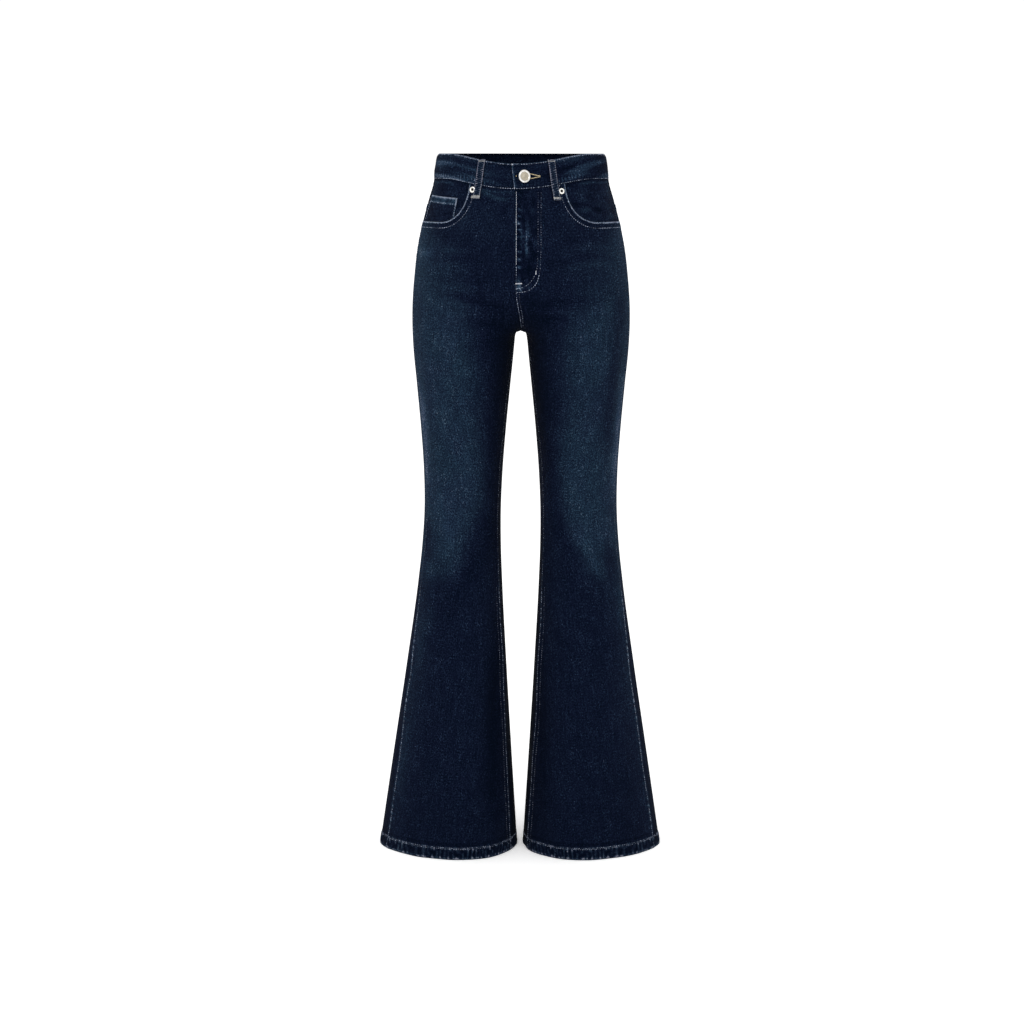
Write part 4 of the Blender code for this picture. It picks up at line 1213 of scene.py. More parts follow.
@dataclass(frozen=True)
class WashedDenim:
    """Rope-dyed stretch denim, 3/1 right-hand twill, stone-washed.

    Indigo warp over pale weft: dark and matt where unwashed, blue with pale flecks where the dye has worn
    off, with fine slubs down the warp. The weave's own rise is 0.9 mm from ridge to ridge. The flecks of
    weft are under a millimetre on the cloth and are drawn about 2 mm long, so that they show; curl is the
    size of the fine pale lines where stretch yarn has pulled the weft into loops.
    """

    name: str = "washed_denim"
    unworn: str = "010711"
    dark: str = "070e1d"
    faded: str = "111d2b"
    pale: str = "23384a"
    bare: str = "6a7582"
    cast: str = "ffebff"  # the redder indigo of dark cloth and of some patches
    greyed: str = "f6e5e3"  # the greyer wear of edges and rubbed folds
    twill: float = 0.9  # mm
    fleck: float = 1.7  # mm
    curl: float = 3.3  # mm
    lint: float = 2.0  # mm, the sparse pale specks on dark cloth
    roughness: float = 0.9
    specular: float = 0.01
    sheen: float = 0.008

    def material(self) -> Material:
        """Builds the material: wash plus flecks, slubs and clouds through one ramp of indigo."""
        material, tree = new_material(self.name)
        uv = add(tree, "UVMap", uv_map="cloth").outputs["UV"]
        mm = add(tree, "VectorMath", {0: uv, 1: (1000, 1000, 0)}, operation="MULTIPLY").outputs[0]
        rise = add(tree, "Mapping", {"Vector": mm, "Rotation": (0, 0, math.radians(-27))}).outputs[0]
        weave = add(
            tree, "TexWave", {"Vector": rise, "Scale": math.pi / 10 / self.twill, "Distortion": 0.6},
            wave_type="BANDS", bands_direction="X",
        )
        made: dict[Any, Any] = {"weave": weave.outputs["Fac"]}
        for name in ("wash", "violet", "greyed"):
            made[name] = add(tree, "Attribute", attribute_name=name).outputs["Fac"]
        noises = (
            # name, how far it is squashed down the warp, size in mm, detail
            ("fleck", 0.75, self.fleck, 2),
            ("slub", 0.06, 2.2, 1),
            ("cloud", 0.7, 26, 2),
            ("patch", 0.5, 12, 1),
            ("curl", 0.65, self.curl, 1),
            ("lint", 0.8, self.lint, 1),
            ("cast", 0.6, 42, 2),
        )
        for name, squash, size, detail in noises:
            where = add(tree, "VectorMath", {0: mm, 1: (1, squash, 1)}, operation="MULTIPLY").outputs[0]
            inputs = {"Vector": where, "Scale": 1 / size, "Detail": detail, "Roughness": 0.6}
            made[name] = add(tree, "TexNoise", inputs).outputs["Fac"]
        steps = (
            # name, what is done, with what: RANGE takes a value, the range it has and the one it gets
            ("flecks", "RANGE", "fleck", 0.30, 0.70, -1.1, 1.0),
            ("slubs", "RANGE", "slub", 0.30, 0.70, -1, 1),
            ("clouds", "RANGE", "cloud", 0.30, 0.70, -0.14, 0.14),
            ("patches", "RANGE", "patch", 0.35, 0.62, 0.25, 1),
            ("off middle", "SUBTRACT", "curl", 0.5),
            ("off middle", "ABSOLUTE", "off middle"),
            ("curls", "RANGE", "off middle", 0.0, 0.07, 1, -0.35),
            ("curls", "MULTIPLY", "curls", "patches"),
            ("strength", "RANGE", "wash", 0, 1.3, 1.45, 1.12),
            ("grain", "RANGE", "weave", 0, 1, -0.12, 0.12),
            ("grain", "MULTIPLY_ADD", "slubs", 0.18, "grain"),
            ("grain", "MULTIPLY_ADD", "flecks", 0.75, "grain"),
            ("grain", "MULTIPLY_ADD", "curls", 0.70, "grain"),
            ("lint", "RANGE", "lint", 0.58, 0.74, 0, 1),
            ("lint share", "RANGE", "wash", 0.1, 1.0, 0.9, 0.25),
            ("level", "MULTIPLY_ADD", "lint", "lint share", "clouds"),
            ("level", "MULTIPLY_ADD", "grain", "strength", "level"),
            ("level", "ADD", "wash", "level"),
            ("shade", "RANGE", "level", -1, 3, 0, 1),
            ("cast", "RANGE", "cast", 0.38, 0.66, 0, 0.5),
            ("strip", "MULTIPLY", "violet", 0.6),
            ("cast", "MAXIMUM", "cast", "strip"),
            ("dark cast", "RANGE", "wash", 0.1, 0.9, 0.9, 0),
            ("cast", "MAXIMUM", "cast", "dark cast"),
            ("worn", "RANGE", "level", 0.2, 1.6, 0, 1),
            ("greyed", "MULTIPLY", "greyed", "worn"),
            ("relief", "MULTIPLY_ADD", "flecks", 0.5, "weave"),
        )
        for name, how, *terms in steps:
            terms = [made.get(term, term) for term in terms]
            if how == "RANGE":
                inputs = dict(zip(("Value", "From Min", "From Max", "To Min", "To Max"), terms))
                made[name] = add(tree, "MapRange", inputs).outputs[0]
            else:
                made[name] = add(tree, "Math", dict(enumerate(terms)), operation=how).outputs[0]
        indigo = add(tree, "ValToRGB", {0: made["shade"]})
        stops = indigo.color_ramp.elements
        for i, colour in enumerate((self.unworn, self.dark, self.faded, self.pale, self.bare)):
            stop = stops[0] if i == 0 else stops.new(i / 4) if i < 4 else stops[-1]
            stop.position = i / 4
            stop.color = linear(colour)
        colour = indigo.outputs[0]
        for share, tint in (("cast", self.cast), ("greyed", self.greyed)):
            inputs = {"Factor": made[share], "A": colour, "B": linear(tint)}
            colour = add(tree, "Mix", inputs, data_type="RGBA", blend_type="MULTIPLY").outputs["Result"]
        bump = add(tree, "Bump", {"Height": made["relief"], "Strength": 0.5, "Distance": 0.0002}).outputs[0]
        shader = add(
            tree, "BsdfPrincipled",
            {
                "Base Color": colour, "Roughness": self.roughness, "Normal": bump,
                "Specular IOR Level": self.specular, "Sheen Weight": self.sheen, "Sheen Roughness": 0.5,
            },
        )
        add(tree, "OutputMaterial", {"Surface": shader.outputs[0]})
        return material


@dataclass(frozen=True)
class SpunThread:
    """Core-spun polyester and cotton topstitching thread, three-ply: matt with a soft shine on its turns.

    Each stitch has a shade between the thread's own colour and that of a stitch that indigo has rubbed into.
    """

    name: str
    colour: str
    worn: str
    ply: float = 0.9  # mm between the turns of its ply

    def material(self) -> Material:
        """Builds the material: slanting ply bands and a little unevenness of dye."""
        material, tree = new_material(self.name)
        place = add(tree, "TexCoord").outputs["Object"]
        mm = add(tree, "VectorMath", {0: place, 1: (1000, 1000, 1000)}, operation="MULTIPLY").outputs[0]
        ply = add(
            tree, "TexWave", {"Vector": mm, "Scale": math.pi / 10 / self.ply, "Distortion": 0.4},
            wave_type="BANDS", bands_direction="DIAGONAL",
        ).outputs["Fac"]
        shade = add(tree, "Attribute", attribute_name="shade").outputs["Fac"]
        inputs = {"Factor": shade, "A": linear(self.worn), "B": linear(self.colour)}
        colour = add(tree, "Mix", inputs, data_type="RGBA").outputs["Result"]
        bump = add(tree, "Bump", {"Height": ply, "Strength": 0.5, "Distance": 0.0001}).outputs[0]
        inputs = {"Base Color": colour, "Roughness": 0.75, "Normal": bump, "Specular IOR Level": 0.2}
        add(tree, "OutputMaterial", {"Surface": add(tree, "BsdfPrincipled", inputs).outputs[0]})
        return material


@dataclass(frozen=True)
class PlatedNickel:
    """Bright nickel plate on a stamped brass blank: pale, slightly warm, with fine tumbling scratches."""

    name: str
    colour: str
    patch: str
    # the colour of the recessed centre: a painted shade of the recess
    hollow_shade: str = "8a8070"
    roughness: float = 0.28

    def material(self) -> Material:
        """Builds the material: plate that darkens a little in patches, roughened by fine scratches, with a
        painted shade colour in its recessed centre.
        """
        material, tree = new_material(self.name)
        place = add(tree, "TexCoord").outputs["Object"]
        mm = add(tree, "VectorMath", {0: place, 1: (1000, 1000, 1000)}, operation="MULTIPLY").outputs[0]
        patches = add(tree, "TexNoise", {"Vector": mm, "Scale": 0.35, "Detail": 3}).outputs["Fac"]
        inputs = {"Vector": mm, "Scale": 3.0, "Detail": 2, "Distortion": 2}
        scratches = add(tree, "TexNoise", inputs).outputs["Fac"]
        clear = add(tree, "MapRange", {"Value": patches, "From Min": 0.35, "From Max": 0.65}).outputs[0]
        shaded_centre = add(tree, "Attribute", attribute_name="hollow_shade").outputs["Fac"]
        colour: Any = linear(self.patch)
        for share, over in ((clear, self.colour), (shaded_centre, self.hollow_shade)):
            inputs = {"Factor": share, "A": colour, "B": linear(over)}
            colour = add(tree, "Mix", inputs, data_type="RGBA").outputs["Result"]
        span = {"Value": scratches, "To Min": self.roughness - 0.08, "To Max": self.roughness + 0.14}
        rough = add(tree, "MapRange", span).outputs[0]
        bump = add(tree, "Bump", {"Height": scratches, "Strength": 0.15, "Distance": 0.00005}).outputs[0]
        inputs = {"Base Color": colour, "Metallic": 1.0, "Roughness": rough, "Normal": bump}
        add(tree, "OutputMaterial", {"Surface": add(tree, "BsdfPrincipled", inputs).outputs[0]})
        return material


@dataclass(frozen=True)
class Finishes:
    """Every finish of the jeans, made once."""

    denim: Material
    facing: Material
    tape: Material
    thread: Material
    white_thread: Material
    slate_thread: Material
    straw_thread: Material
    nickel: Material
    rivet: Material
    dark_metal: Material

    @classmethod
    def make(cls) -> "Finishes":
        """Builds all the materials."""
        kinds = (
            WashedDenim(),
            WashedDenim(name="pocket_facing_denim"),
            WashedDenim(name="zip_tape_twill", unworn="08090d", dark="0e0f15", faded="16171f"),
            SpunThread("stone_thread", "a3adc2", "1e2638"),
            SpunThread("worn_white_thread", "dcdde2", "a2a6b4"),
            SpunThread("slate_thread", "a9a9a6", "6b6c70"),
            SpunThread("straw_thread", "cabb98", "857a5e"),
            PlatedNickel("plated_nickel", "e4e3e1", "bcb9b2", hollow_shade="9c9586"),
            # the rivet's near-black centre is painted shade in its recess
            PlatedNickel("plated_nickel_rivet", "efeeea", "dcdad2", hollow_shade="2c2a28"),
            PlatedNickel("blackened_brass", "77716a", "5a554f"),
        )
        return cls(*(kind.material() for kind in kinds))


# ---------------------------------------------------------------- cloth sub-assemblies


def quarter_wall(layer: Layer, place: Place, thickness: float) -> Shell:
    """The wall of a piece on one quarter.

    The face is the form moved out by the layer's lift; the back is the face's smooth copy, moved in by the
    thickness. At the leg seams both keep to their own side of the seam.
    """
    side, hand = place.side.value, place.hand.value
    points, out = FORM.frame(place)
    leg = place.height <= FORM.fork + 1e-6
    seam = (place.turn >= 1) | (leg & (place.turn <= 0))
    flat = out * (1, 0, 1)
    flat /= np.maximum(np.linalg.norm(flat, axis=-1, keepdims=True), 1e-6)
    out = np.where(seam[..., None], flat, out)
    lift = layer.lift(place)
    face, back = points + out * lift[..., None], points + out * (lift - thickness)[..., None]
    seam_y = FORM.section("seam_y", place.height)
    centre = FORM.points(place.side, place.hand, 0, place.height)[..., 0]
    for grid in (face, back):
        grid[..., 1] = seam_y + side * np.maximum(side * (grid[..., 1] - seam_y), 0)
        grid[..., 0] = centre + hand * np.maximum(hand * (grid[..., 0] - centre), np.where(leg, -1.0, 0))
    cloth = np.stack([hand * (1 - place.to_side) + 3 * side, place.height], axis=-1)
    return Shell(face, back, cloth, layer.wash(place))


@dataclass
class Legs:
    """The four long panels, front and back, from the waist to the hems."""

    finishes: Finishes
    front: FrontLayer = FrontLayer()
    back: BackLayer = BackLayer()
    inside: float = 1.25

    def lower_heights(self) -> Array:
        """The rows below the hip: to the fork, round the arch, down the leg, and close rows at the hem."""
        to_fork = FORM.height_at_share(FRONT, spaced((0.01, 0.5, 1), (18, 26))[:-1])
        arch = FORM.fork - FORM.arch_radius * np.array((0, 0.012, 0.06, 0.2, 0.5))
        leg = spaced((FORM.fork - FORM.arch_radius, CUT.hem + 22 * MM), (262,))
        hem = CUT.hem + np.array((19.2, 18.2, 17, 15.4, 13.4, 11.4, 9.4, 7.6, 6, 4.6, 3.3, 2.2, 1.1, 0)) * MM
        return np.concatenate([to_fork, arch, leg, hem])

    def panel_heights(self, top: Array, steps: int) -> Array:
        """All rows of a panel: close ones at its top edge, blending to the level rows below."""
        lower = self.lower_heights()
        shares = np.concatenate([[0, 0.004, 0.012, 0.024], np.linspace(0.04, 1, steps, endpoint=False)])
        upper = top + (lower[0] - top) * shares[:, None]
        rows = np.concatenate([upper, np.repeat(lower[:, None], len(top), axis=1)])
        return rows if len(rows) % 2 else np.delete(rows, -30, axis=0)

    def build(self) -> None:
        """Makes both fronts and both backs."""
        turns = spaced((0, 0.012, CUT.scoop_start, 0.36, 0.405, 0.60, 0.985, 1), (4, 44, 4, 14, 26, 32, 4))
        heights = self.panel_heights(CUT.front_top(turns), 42)
        back_turns = spaced(EDGED, (4, 112, 4))
        back_heights = self.panel_heights(CUT.yoke_seam(back_turns) - SEAM_GAP, 28)
        for hand in Hand:
            self.panel(self.front, FORM.place(FRONT, hand, turns, heights))
            self.panel(self.back, FORM.place(BACK, hand, back_turns, back_heights))

    def panel(self, layer: Layer, place: Place) -> None:
        """Makes one panel."""
        node = f"{place.side.name.lower()}_{place.hand.label}"
        piece = ClothPiece(
            f"panel_{node}", node, quarter_wall(layer, place, DENIM), self.inside, self.finishes.denim,
            facing=-place.side.value * place.hand.value,
        )
        made = piece.build()
        casts = {"greyed": greyed(place)}
        if place.side is FRONT:
            casts["violet"] = layer.violet(place)
        for name, values in casts.items():
            set_attribute(made, name, piece.both(values, 0 * values))


@dataclass
class Yokes:
    """The two yokes between the band and the back panels."""

    finishes: Finishes
    layer: YokeLayer = YokeLayer()

    def build(self) -> None:
        """Makes both yokes."""
        turns = spaced(EDGED, (4, 104, 4))
        top = CUT.waist_seam(BACK, turns) - SEAM_GAP
        heights = top + (CUT.yoke_seam(turns) - top) * spaced((0, 0.03, 0.97, 1), (3, 26, 3))[:, None]
        for hand in Hand:
            shell = quarter_wall(self.layer, FORM.place(BACK, hand, turns, heights), DENIM)
            ClothPiece(
                f"yoke_panel_{hand.label}", f"yoke_{hand.label}", shell, 1.25, self.finishes.denim,
                facing=-hand.value,
            ).build()


@dataclass
class PocketFacings:
    """The facings behind the pocket mouths, and the coin pocket on the right one."""

    finishes: Finishes
    layer: FacingLayer = FacingLayer()
    foot: float = -125 * MM
    start: float = 0.27
    coin_turns: tuple[float, float] = (0.45, 0.86)
    coin_top: tuple[float, float] = (-66 * MM, -62 * MM)

    def build(self) -> None:
        """Makes both facings and the coin pocket, a patch with a turned top hem and turned sides."""
        turns = spaced((self.start, 0.985, 1), (64, 4))
        top = CUT.waist_seam(FRONT, turns) - SEAM_GAP
        heights = top + (self.foot - top) * np.linspace(0, 1, 41)[:, None]
        for hand in Hand:
            shell = quarter_wall(self.layer, FORM.place(FRONT, hand, turns, heights), LIGHT_DENIM)
            ClothPiece(
                f"facing_{hand.label}", f"pocket_facing_{hand.label}", shell, 0.8, self.finishes.facing,
                "facing_denim", hand.value,
            ).build()
        turns = spaced((self.coin_turns[0], 0.456, 0.85, self.coin_turns[1]), (3, 42, 3))
        top = np.interp(turns, self.coin_turns, self.coin_top)
        heights = top + (CUT.front_top(turns) + 1 * MM - top) * spaced((0, 0.04, 1), (3, 25))[:, None]
        shell = quarter_wall(CoinLayer(), FORM.place(FRONT, RIGHT, turns, heights), 0.5 * MM)
        ClothPiece(
            "coin_pocket_patch", "coin_pocket", shell, 0.5, self.finishes.facing, "facing_denim",
            RIGHT.value, hangs_from=("facing_right",),
        ).build()


@dataclass(frozen=True)
class CoinLayer(Layer):
    """The coin pocket's face on the right facing."""

    def edges(self, place: Place) -> tuple[Array, Array]:
        """Distances from the top edge and from the nearer side edge."""
        ends = PocketFacings.coin_turns, PocketFacings.coin_top
        top = np.interp(place.turn, *ends) - place.height
        sides = [FORM.place(place.side, place.hand, turn, place.height).distance for turn in ends[0]]
        return top, np.minimum(place.distance - sides[0], sides[1] - place.distance)

    def lift(self, place: Place) -> Array:
        """Turned edges stand higher than the middle."""
        top, side = self.edges(place)
        turned = np.maximum(1 - ramp(top, 8 * MM, 10 * MM), 1 - ramp(side, 6 * MM, 8 * MM))
        soft = -0.3 * MM * np.maximum(bell(top, 0.5 * MM), bell(side, 0.5 * MM))
        return -(DENIM + LAYER_GAP) + 0.62 * MM + 0.4 * MM * turned + soft

    def wash(self, place: Place) -> Array:
        """Worn along its edges."""
        top, side = self.edges(place)
        hem = 1 - ramp(top, 9 * MM, 11 * MM) + 1.2 * bell(top - 9.5 * MM, 1.7 * MM)
        uneven = 0.3 * Unevenness(12 * MM, seed=19).at(place.distance, place.height)
        return 0.1 + 2.3 * np.maximum(bell(top, 2.2 * MM), bell(side, 1.8 * MM)) + hem + uneven


@dataclass
class Waistband:
    """One band round the waist, from its left end, which laps over, to its right end, tucked under."""

    finishes: Finishes
    layer: BandLayer = BandLayer()
    lap: float = 30 * MM
    end_turns: tuple[float, float] = (0.030, 0.009)  # of the left end, at the band's top and at its foot
    tuck: float = CUT.band_wall + SEAM_GAP  # how far in the right end lies

    def runs(self) -> Sequence[tuple[Side, Hand, Array]]:
        """The quarters that the band passes from end to end, and its turns on each."""
        under = float(FORM.place_at(FRONT, LEFT, self.lap, -CUT.band_height / 2).turn)
        return (
            (FRONT, RIGHT, spaced((self.end_turns[0], 0.02, 0), (3, 2))[:-1]),
            (FRONT, LEFT, spaced((0, 1), (74,))[:-1]),
            (BACK, LEFT, spaced((1, 0), (76,))[:-1]),
            (BACK, RIGHT, spaced((0, 1), (76,))[:-1]),
            (FRONT, RIGHT, spaced((1, 0), (74,))[:-1]),
            (FRONT, LEFT, spaced((0, under), (13,))),
        )

    def run(self, place: Place, shares: Array, covered: Array, start: float) -> tuple[Shell, float]:
        """The band's wall on one quarter.

        Args:
            place: its places, in rows from its top edge down.
            shares: each row's share of the way down.
            covered: 1 where the other end laps over the band.
            start: how far round the band it starts.

        Returns:
            The wall, and how far round the band it ends.
        """
        points, out = FORM.frame(place)
        roll = self.layer.roll(CUT.top_edge(place.side, place.turn) - place.height)
        lift = self.layer.lift(place) * (1 - covered) + (CUT.band_proud + roll) * covered
        wall = CUT.band_proud + roll - CUT.band_wall
        rim = 0.45 * MM * (bell(shares, 0.008) + bell(1 - shares, 0.008))
        face, back = (
            points + out * (high - self.tuck * covered)[..., None] for high in (lift - rim, wall + rim)
        )
        middle = FORM.points(place.side, place.hand, place.turn[0], place.height[len(shares) // 2])
        steps = travelled(middle)
        along, down = np.broadcast_arrays(start + steps, -CUT.band_height * shares)
        shell = Shell(face, back, np.stack([down, along], axis=-1) + 2, self.layer.wash(place))
        return shell, start + steps[-1] + 2.3 * MM

    def build(self) -> None:
        """Makes the band."""
        shares = spaced((0, 0.012, 0.04, 0.96, 0.988, 1), (1, 1, 30, 1, 1))[:, None]
        slant = 1 + (self.end_turns[1] / self.end_turns[0] - 1) * shares
        shells, along = [], 0.0
        runs = self.runs()
        for left, (side, hand, turns) in zip(reversed(range(len(runs))), runs):
            turns = turns * (slant if along == 0 else np.ones_like(slant))
            covered = np.full(turns.shape, 1.0 if left == 0 else 0.0)
            if left == 1:
                covered = np.clip((0.10 - turns) / 0.05, 0, 1)
            heights = CUT.top_edge(side, turns) - CUT.band_height * shares
            shell, along = self.run(FORM.place(side, hand, turns, heights), shares, covered, along)
            shells.append(shell)
        shell = Shell.joined(shells)
        end = np.linalg.norm(shell.face - shell.face[:, :1], axis=-1)
        shell = shell._replace(wash=shell.wash + 2.3 * bell(end, 1.7 * MM))
        piece = ClothPiece("waistband_cloth", "waistband", shell, -0.2, self.finishes.denim, hangs_from=())
        made = piece.build()
        set_attribute(made, "violet", 0.7)


@dataclass
class Hems:
    """The allowance turned up inside each leg end."""

    finishes: Finishes
    drop: float = 0.1 * MM

    def build(self) -> None:
        """Makes both turned-up rings, against the panels' inner faces."""
        heights = (CUT.hem + self.drop + CUT.hem_depth * spaced((1, 0), (10,)))[:, None]
        runs = ((FRONT, spaced((0, 1), (96,))[:-1]), (BACK, spaced((1, 0), (96,))[:-1]))
        for hand in Hand:
            places = (FORM.place(side, hand, turns, heights) for side, turns in runs)
            shell = Shell.joined([quarter_wall(HemLayer(), place, LIGHT_DENIM) for place in places])
            ClothPiece(
                f"turned_hem_{hand.label}", f"hem_{hand.label}", shell, 0.5, self.finishes.denim,
                facing=hand.value, closed=True, hangs_from=(f"panel_front_{hand.label}",),
            ).build()


@dataclass(frozen=True)
class HemLayer(Layer):
    """The turned-up ring's outer face, just inside the panels."""

    def lift(self, place: Place) -> Array:
        """Follows the panel's own hem, one layer in."""
        return 0.8 * hem_lift(place) - (DENIM + SEAM_GAP)

    def wash(self, place: Place) -> Array:
        """Even and pale."""
        return np.full(place.turn.shape, 1.2)


# ---------------------------------------------------------------- stitching


class Threads(NamedTuple):
    """Short straight runs of thread: their starts, their ends and the directions out of the cloth."""

    starts: Array
    ends: Array
    out: Array


@dataclass(frozen=True)
class Sewing:
    """How threads are laid and drawn: each run is a capsule, its ends drawn down into the cloth."""

    thread: float = 0.36 * MM  # half the thread's thickness
    fill: float = 0.74  # share of the pitch that the thread covers
    shades: tuple[float, float] = (0, 1)  # from rubbed with indigo to the thread's own colour
    rubbed: float = 1.0  # above 1, most stitches are near the first of these shades
    sides: int = 5
    rings: tuple[float, ...] = (0.0, 0.14, 0.5, 0.86, 1.0)
    girths: tuple[float, ...] = (0.45, 0.95, 1.0, 0.95, 0.45)
    rises: tuple[float, ...] = (-0.6, 0.35, 0.7, 0.35, -0.6)

    def on(self, layer: Layer, place: Place) -> Threads:
        """A row of evenly spaced stitches on a layer's face, one run for each, through places."""
        points, out = layer.face(place), FORM.frame(place)[1]
        along = travelled(points)
        count = max(1, int(along[-1] / STITCH))
        pitch = along[-1] / count
        middle = (np.arange(count) + 0.5) * pitch
        half = pitch * self.fill / 2
        rows = ((points, middle - half), (points, middle + half), (out, middle))
        return Threads(
            *(np.stack([np.interp(at, along, column) for column in row.T], axis=-1) for row, at in rows)
        )

    def build(
        self, name: str, runs: Sequence[Threads], material: Material, slot: str = "denim"
    ) -> None:
        """Makes one piece of all the threads of some runs.

        Args:
            name: the piece's name.
            runs: the threads.
            material: their finish.
            slot: the record's material slot that they belong to; not used.
        """
        starts, ends, out = (np.concatenate(part) for part in zip(*runs))
        ahead = ends - starts
        across = np.cross(ahead, out)
        across /= np.maximum(np.linalg.norm(across, axis=1, keepdims=True), 1e-12)
        up = np.cross(across, ahead)
        up /= np.maximum(np.linalg.norm(up, axis=1, keepdims=True), 1e-12)
        middle = starts[:, None] + ahead[:, None] * np.array(self.rings)[:, None]
        middle += up[:, None] * (np.array(self.rises) * self.thread)[:, None]
        angle = np.arange(self.sides) * math.tau / self.sides
        ring = across[:, None, None] * np.cos(angle)[:, None] + up[:, None, None] * np.sin(angle)[:, None]
        points = middle[:, :, None] + ring * (np.array(self.girths) * self.thread)[:, None, None]
        index = np.arange(len(self.rings) * self.sides).reshape(len(self.rings), self.sides)
        skin = quads(wrapped(index))[:, [0, 3, 2, 1]]
        caps = np.stack([index[0][::-1], index[-1]])
        first = np.arange(len(points))[:, None, None] * index.size
        groups = ((skin + first).reshape(-1, 4), (caps + first).reshape(-1, self.sides))
        made = mesh_object(name, points, groups, sharp=80)
        shades = np.random.default_rng(len(points)).uniform(0, 1, len(points)) ** self.rubbed
        shades = self.shades[0] + (self.shades[1] - self.shades[0]) * shades
        set_attribute(made, "shade", np.repeat(shades, index.size))
        declare(made, material)


PLAIN = Sewing()
FINE = Sewing(thread=0.28 * MM, fill=0.66)
SUNK = Sewing(thread=0.28 * MM, fill=0.70, rubbed=1.4)
FAINT = Sewing(thread=0.22 * MM, fill=0.55, shades=(0, 0.6), rubbed=1.8)
CLOSE = Sewing(thread=0.24 * MM)
FLY_UPPER = Sewing(thread=0.25 * MM, fill=0.5, shades=(0, 0.75), rubbed=1.6)
FLY_EDGE = Sewing(thread=0.24 * MM, fill=0.9, shades=(0.2, 1))


@dataclass
class Topstitching:
    """All the visible rows of thread on the panels, yokes, band and facings."""

    finishes: Finishes
    front: FrontLayer = FrontLayer()
    back: BackLayer = BackLayer()
    yoke: YokeLayer = YokeLayer()
    band: BandLayer = BandLayer()
    flare_top: float = -680 * MM  # where the leg seams' rows become clear
    hem_rows: tuple[float, float] = (19.0 * MM, 17.0 * MM)
    band_rows: tuple[float, float] = (1.6 * MM, 37.1 * MM)
    seam_rows: tuple[float, float] = (1.4 * MM, 6.6 * MM)
    mouth_rows: tuple[float, float] = (1.5 * MM, 8.8 * MM)

    def leg_row(
        self, hand: Hand, inner: bool, span: tuple[float, float], sewing: Sewing, more: float
    ) -> Threads:
        """A row along a leg seam's line over a span of heights, further in from the leg's edge by more."""
        heights = np.linspace(*span, 900)
        turns = CUT.seam_turn(inner, hand, heights, more)
        return sewing.on(self.front, FORM.place(FRONT, hand, turns, heights))

    def leg_seams(self, hand: Hand) -> list[Threads]:
        """The clear rows along the flare's side seam and inner leg seam."""
        span = (self.flare_top, CUT.hem + 2 * MM)
        return [self.leg_row(hand, inner, span, SUNK, 0.9 * MM) for inner in (False, True)]

    def faint_rows(self, hand: Hand) -> list[Threads]:
        """The same rows on the thigh, rubbed dark, and the inner leg seam's second row."""
        tops = (-112 * MM, FORM.fork - 14 * MM)
        foot = self.flare_top - 1 * MM
        rows = [self.leg_row(hand, bool(i), (top, foot), FAINT, 0.9 * MM) for i, top in enumerate(tops)]
        second = (self.flare_top + 10 * MM, CUT.hem + 2 * MM)
        return [*rows, self.leg_row(hand, True, second, FAINT, 4.7 * MM)]

    def hems(self, hand: Hand) -> list[Threads]:
        """Two rows round each hem, the lower one close under the upper."""
        turns = np.linspace(0.004, 0.996, 300)
        return [
            SUNK.on(layer, FORM.place(side, hand, turns, CUT.hem + up))
            for up in self.hem_rows
            for side, layer in ((FRONT, self.front), (BACK, self.back))
        ]

    def on_path(self, sewing: Sewing, hand: Hand, path: Array) -> Threads:
        """A row on the front along a path of distances from the centre seam and heights."""
        return sewing.on(self.front, FORM.place_at(FRONT, hand, path[:, 0], path[:, 1]))

    def pocket_mouth(self, hand: Hand) -> list[Threads]:
        """Two rows that follow the pocket mouth."""
        rows = []
        ceiling = CUT.waist_seam(FRONT, CUT.scoop_start) - 1 * MM
        for inside, sewing in zip(self.mouth_rows, (PLAIN, FINE)):
            path = CUT.scoop_path(hand, inside)
            rows.append(self.on_path(sewing, hand, rounded(path[path[:, 1] < ceiling][::2], 300)))
        return rows

    def fly(self, upper: bool) -> list[Threads]:
        """The fly's two curved rows, as far as its bend or below it, and the rows on the seam under it."""
        sewing = FLY_UPPER if upper else FINE
        rows = []
        for outer, bend in ((True, -166 * MM), (False, -179 * MM)):
            path = CUT.fly_path(outer)
            rows.append(self.on_path(sewing, LEFT, rounded(path[(path[:, 1] > bend) == upper], 120)))
        inside, top = (5.4 * MM, -207 * MM) if upper else (1.3 * MM, -166 * MM)
        heights = np.linspace(top, -262 * MM, 200)
        path = np.stack([inside - 0.3 * MM * ramp(-heights, 0.245, 0.262), heights], axis=-1)
        return [*rows, self.on_path(sewing, LEFT, path)]

    def fly_edge(self) -> Threads:
        """The close row down the fly's edge."""
        heights = np.linspace(-56 * MM, -164 * MM, 160)
        return self.on_path(FLY_EDGE, LEFT, np.stack([np.full(160, 1.2 * MM), heights], axis=-1))

    def coin_pocket(self) -> list[Threads]:
        """The coin pocket's rows: two under its top edge, and down each side."""
        (start, end), tops = PocketFacings.coin_turns, PocketFacings.coin_top
        rows = []
        turns = np.linspace(start + 0.008, end - 0.006, 120)
        for drop in (1.0 * MM, 9.5 * MM):
            rows.append((turns, np.interp(turns, (start, end), tops) - drop))
        for turn in (start + 0.008, end - 0.010):
            top = float(np.interp(turn, (start, end), tops)) - 2 * MM
            rows.append((turn, np.linspace(top, float(CUT.front_top(turn)) + 3 * MM, 60)))
        return [FINE.on(CoinLayer(), FORM.place(FRONT, RIGHT, *row)) for row in rows]

    def waistband(self) -> list[Threads]:
        """The band's two rows all the way round, under its top edge and above its lower seam."""
        rows = []
        for down in self.band_rows:
            for side in Side:
                for hand in Hand:
                    start = 0.012 if side is FRONT and hand is RIGHT else 0.0
                    turns = np.linspace(start, 1, 260)
                    place = FORM.place(side, hand, turns, CUT.top_edge(side, turns) - down)
                    rows.append(FINE.on(self.band, place))
        return rows

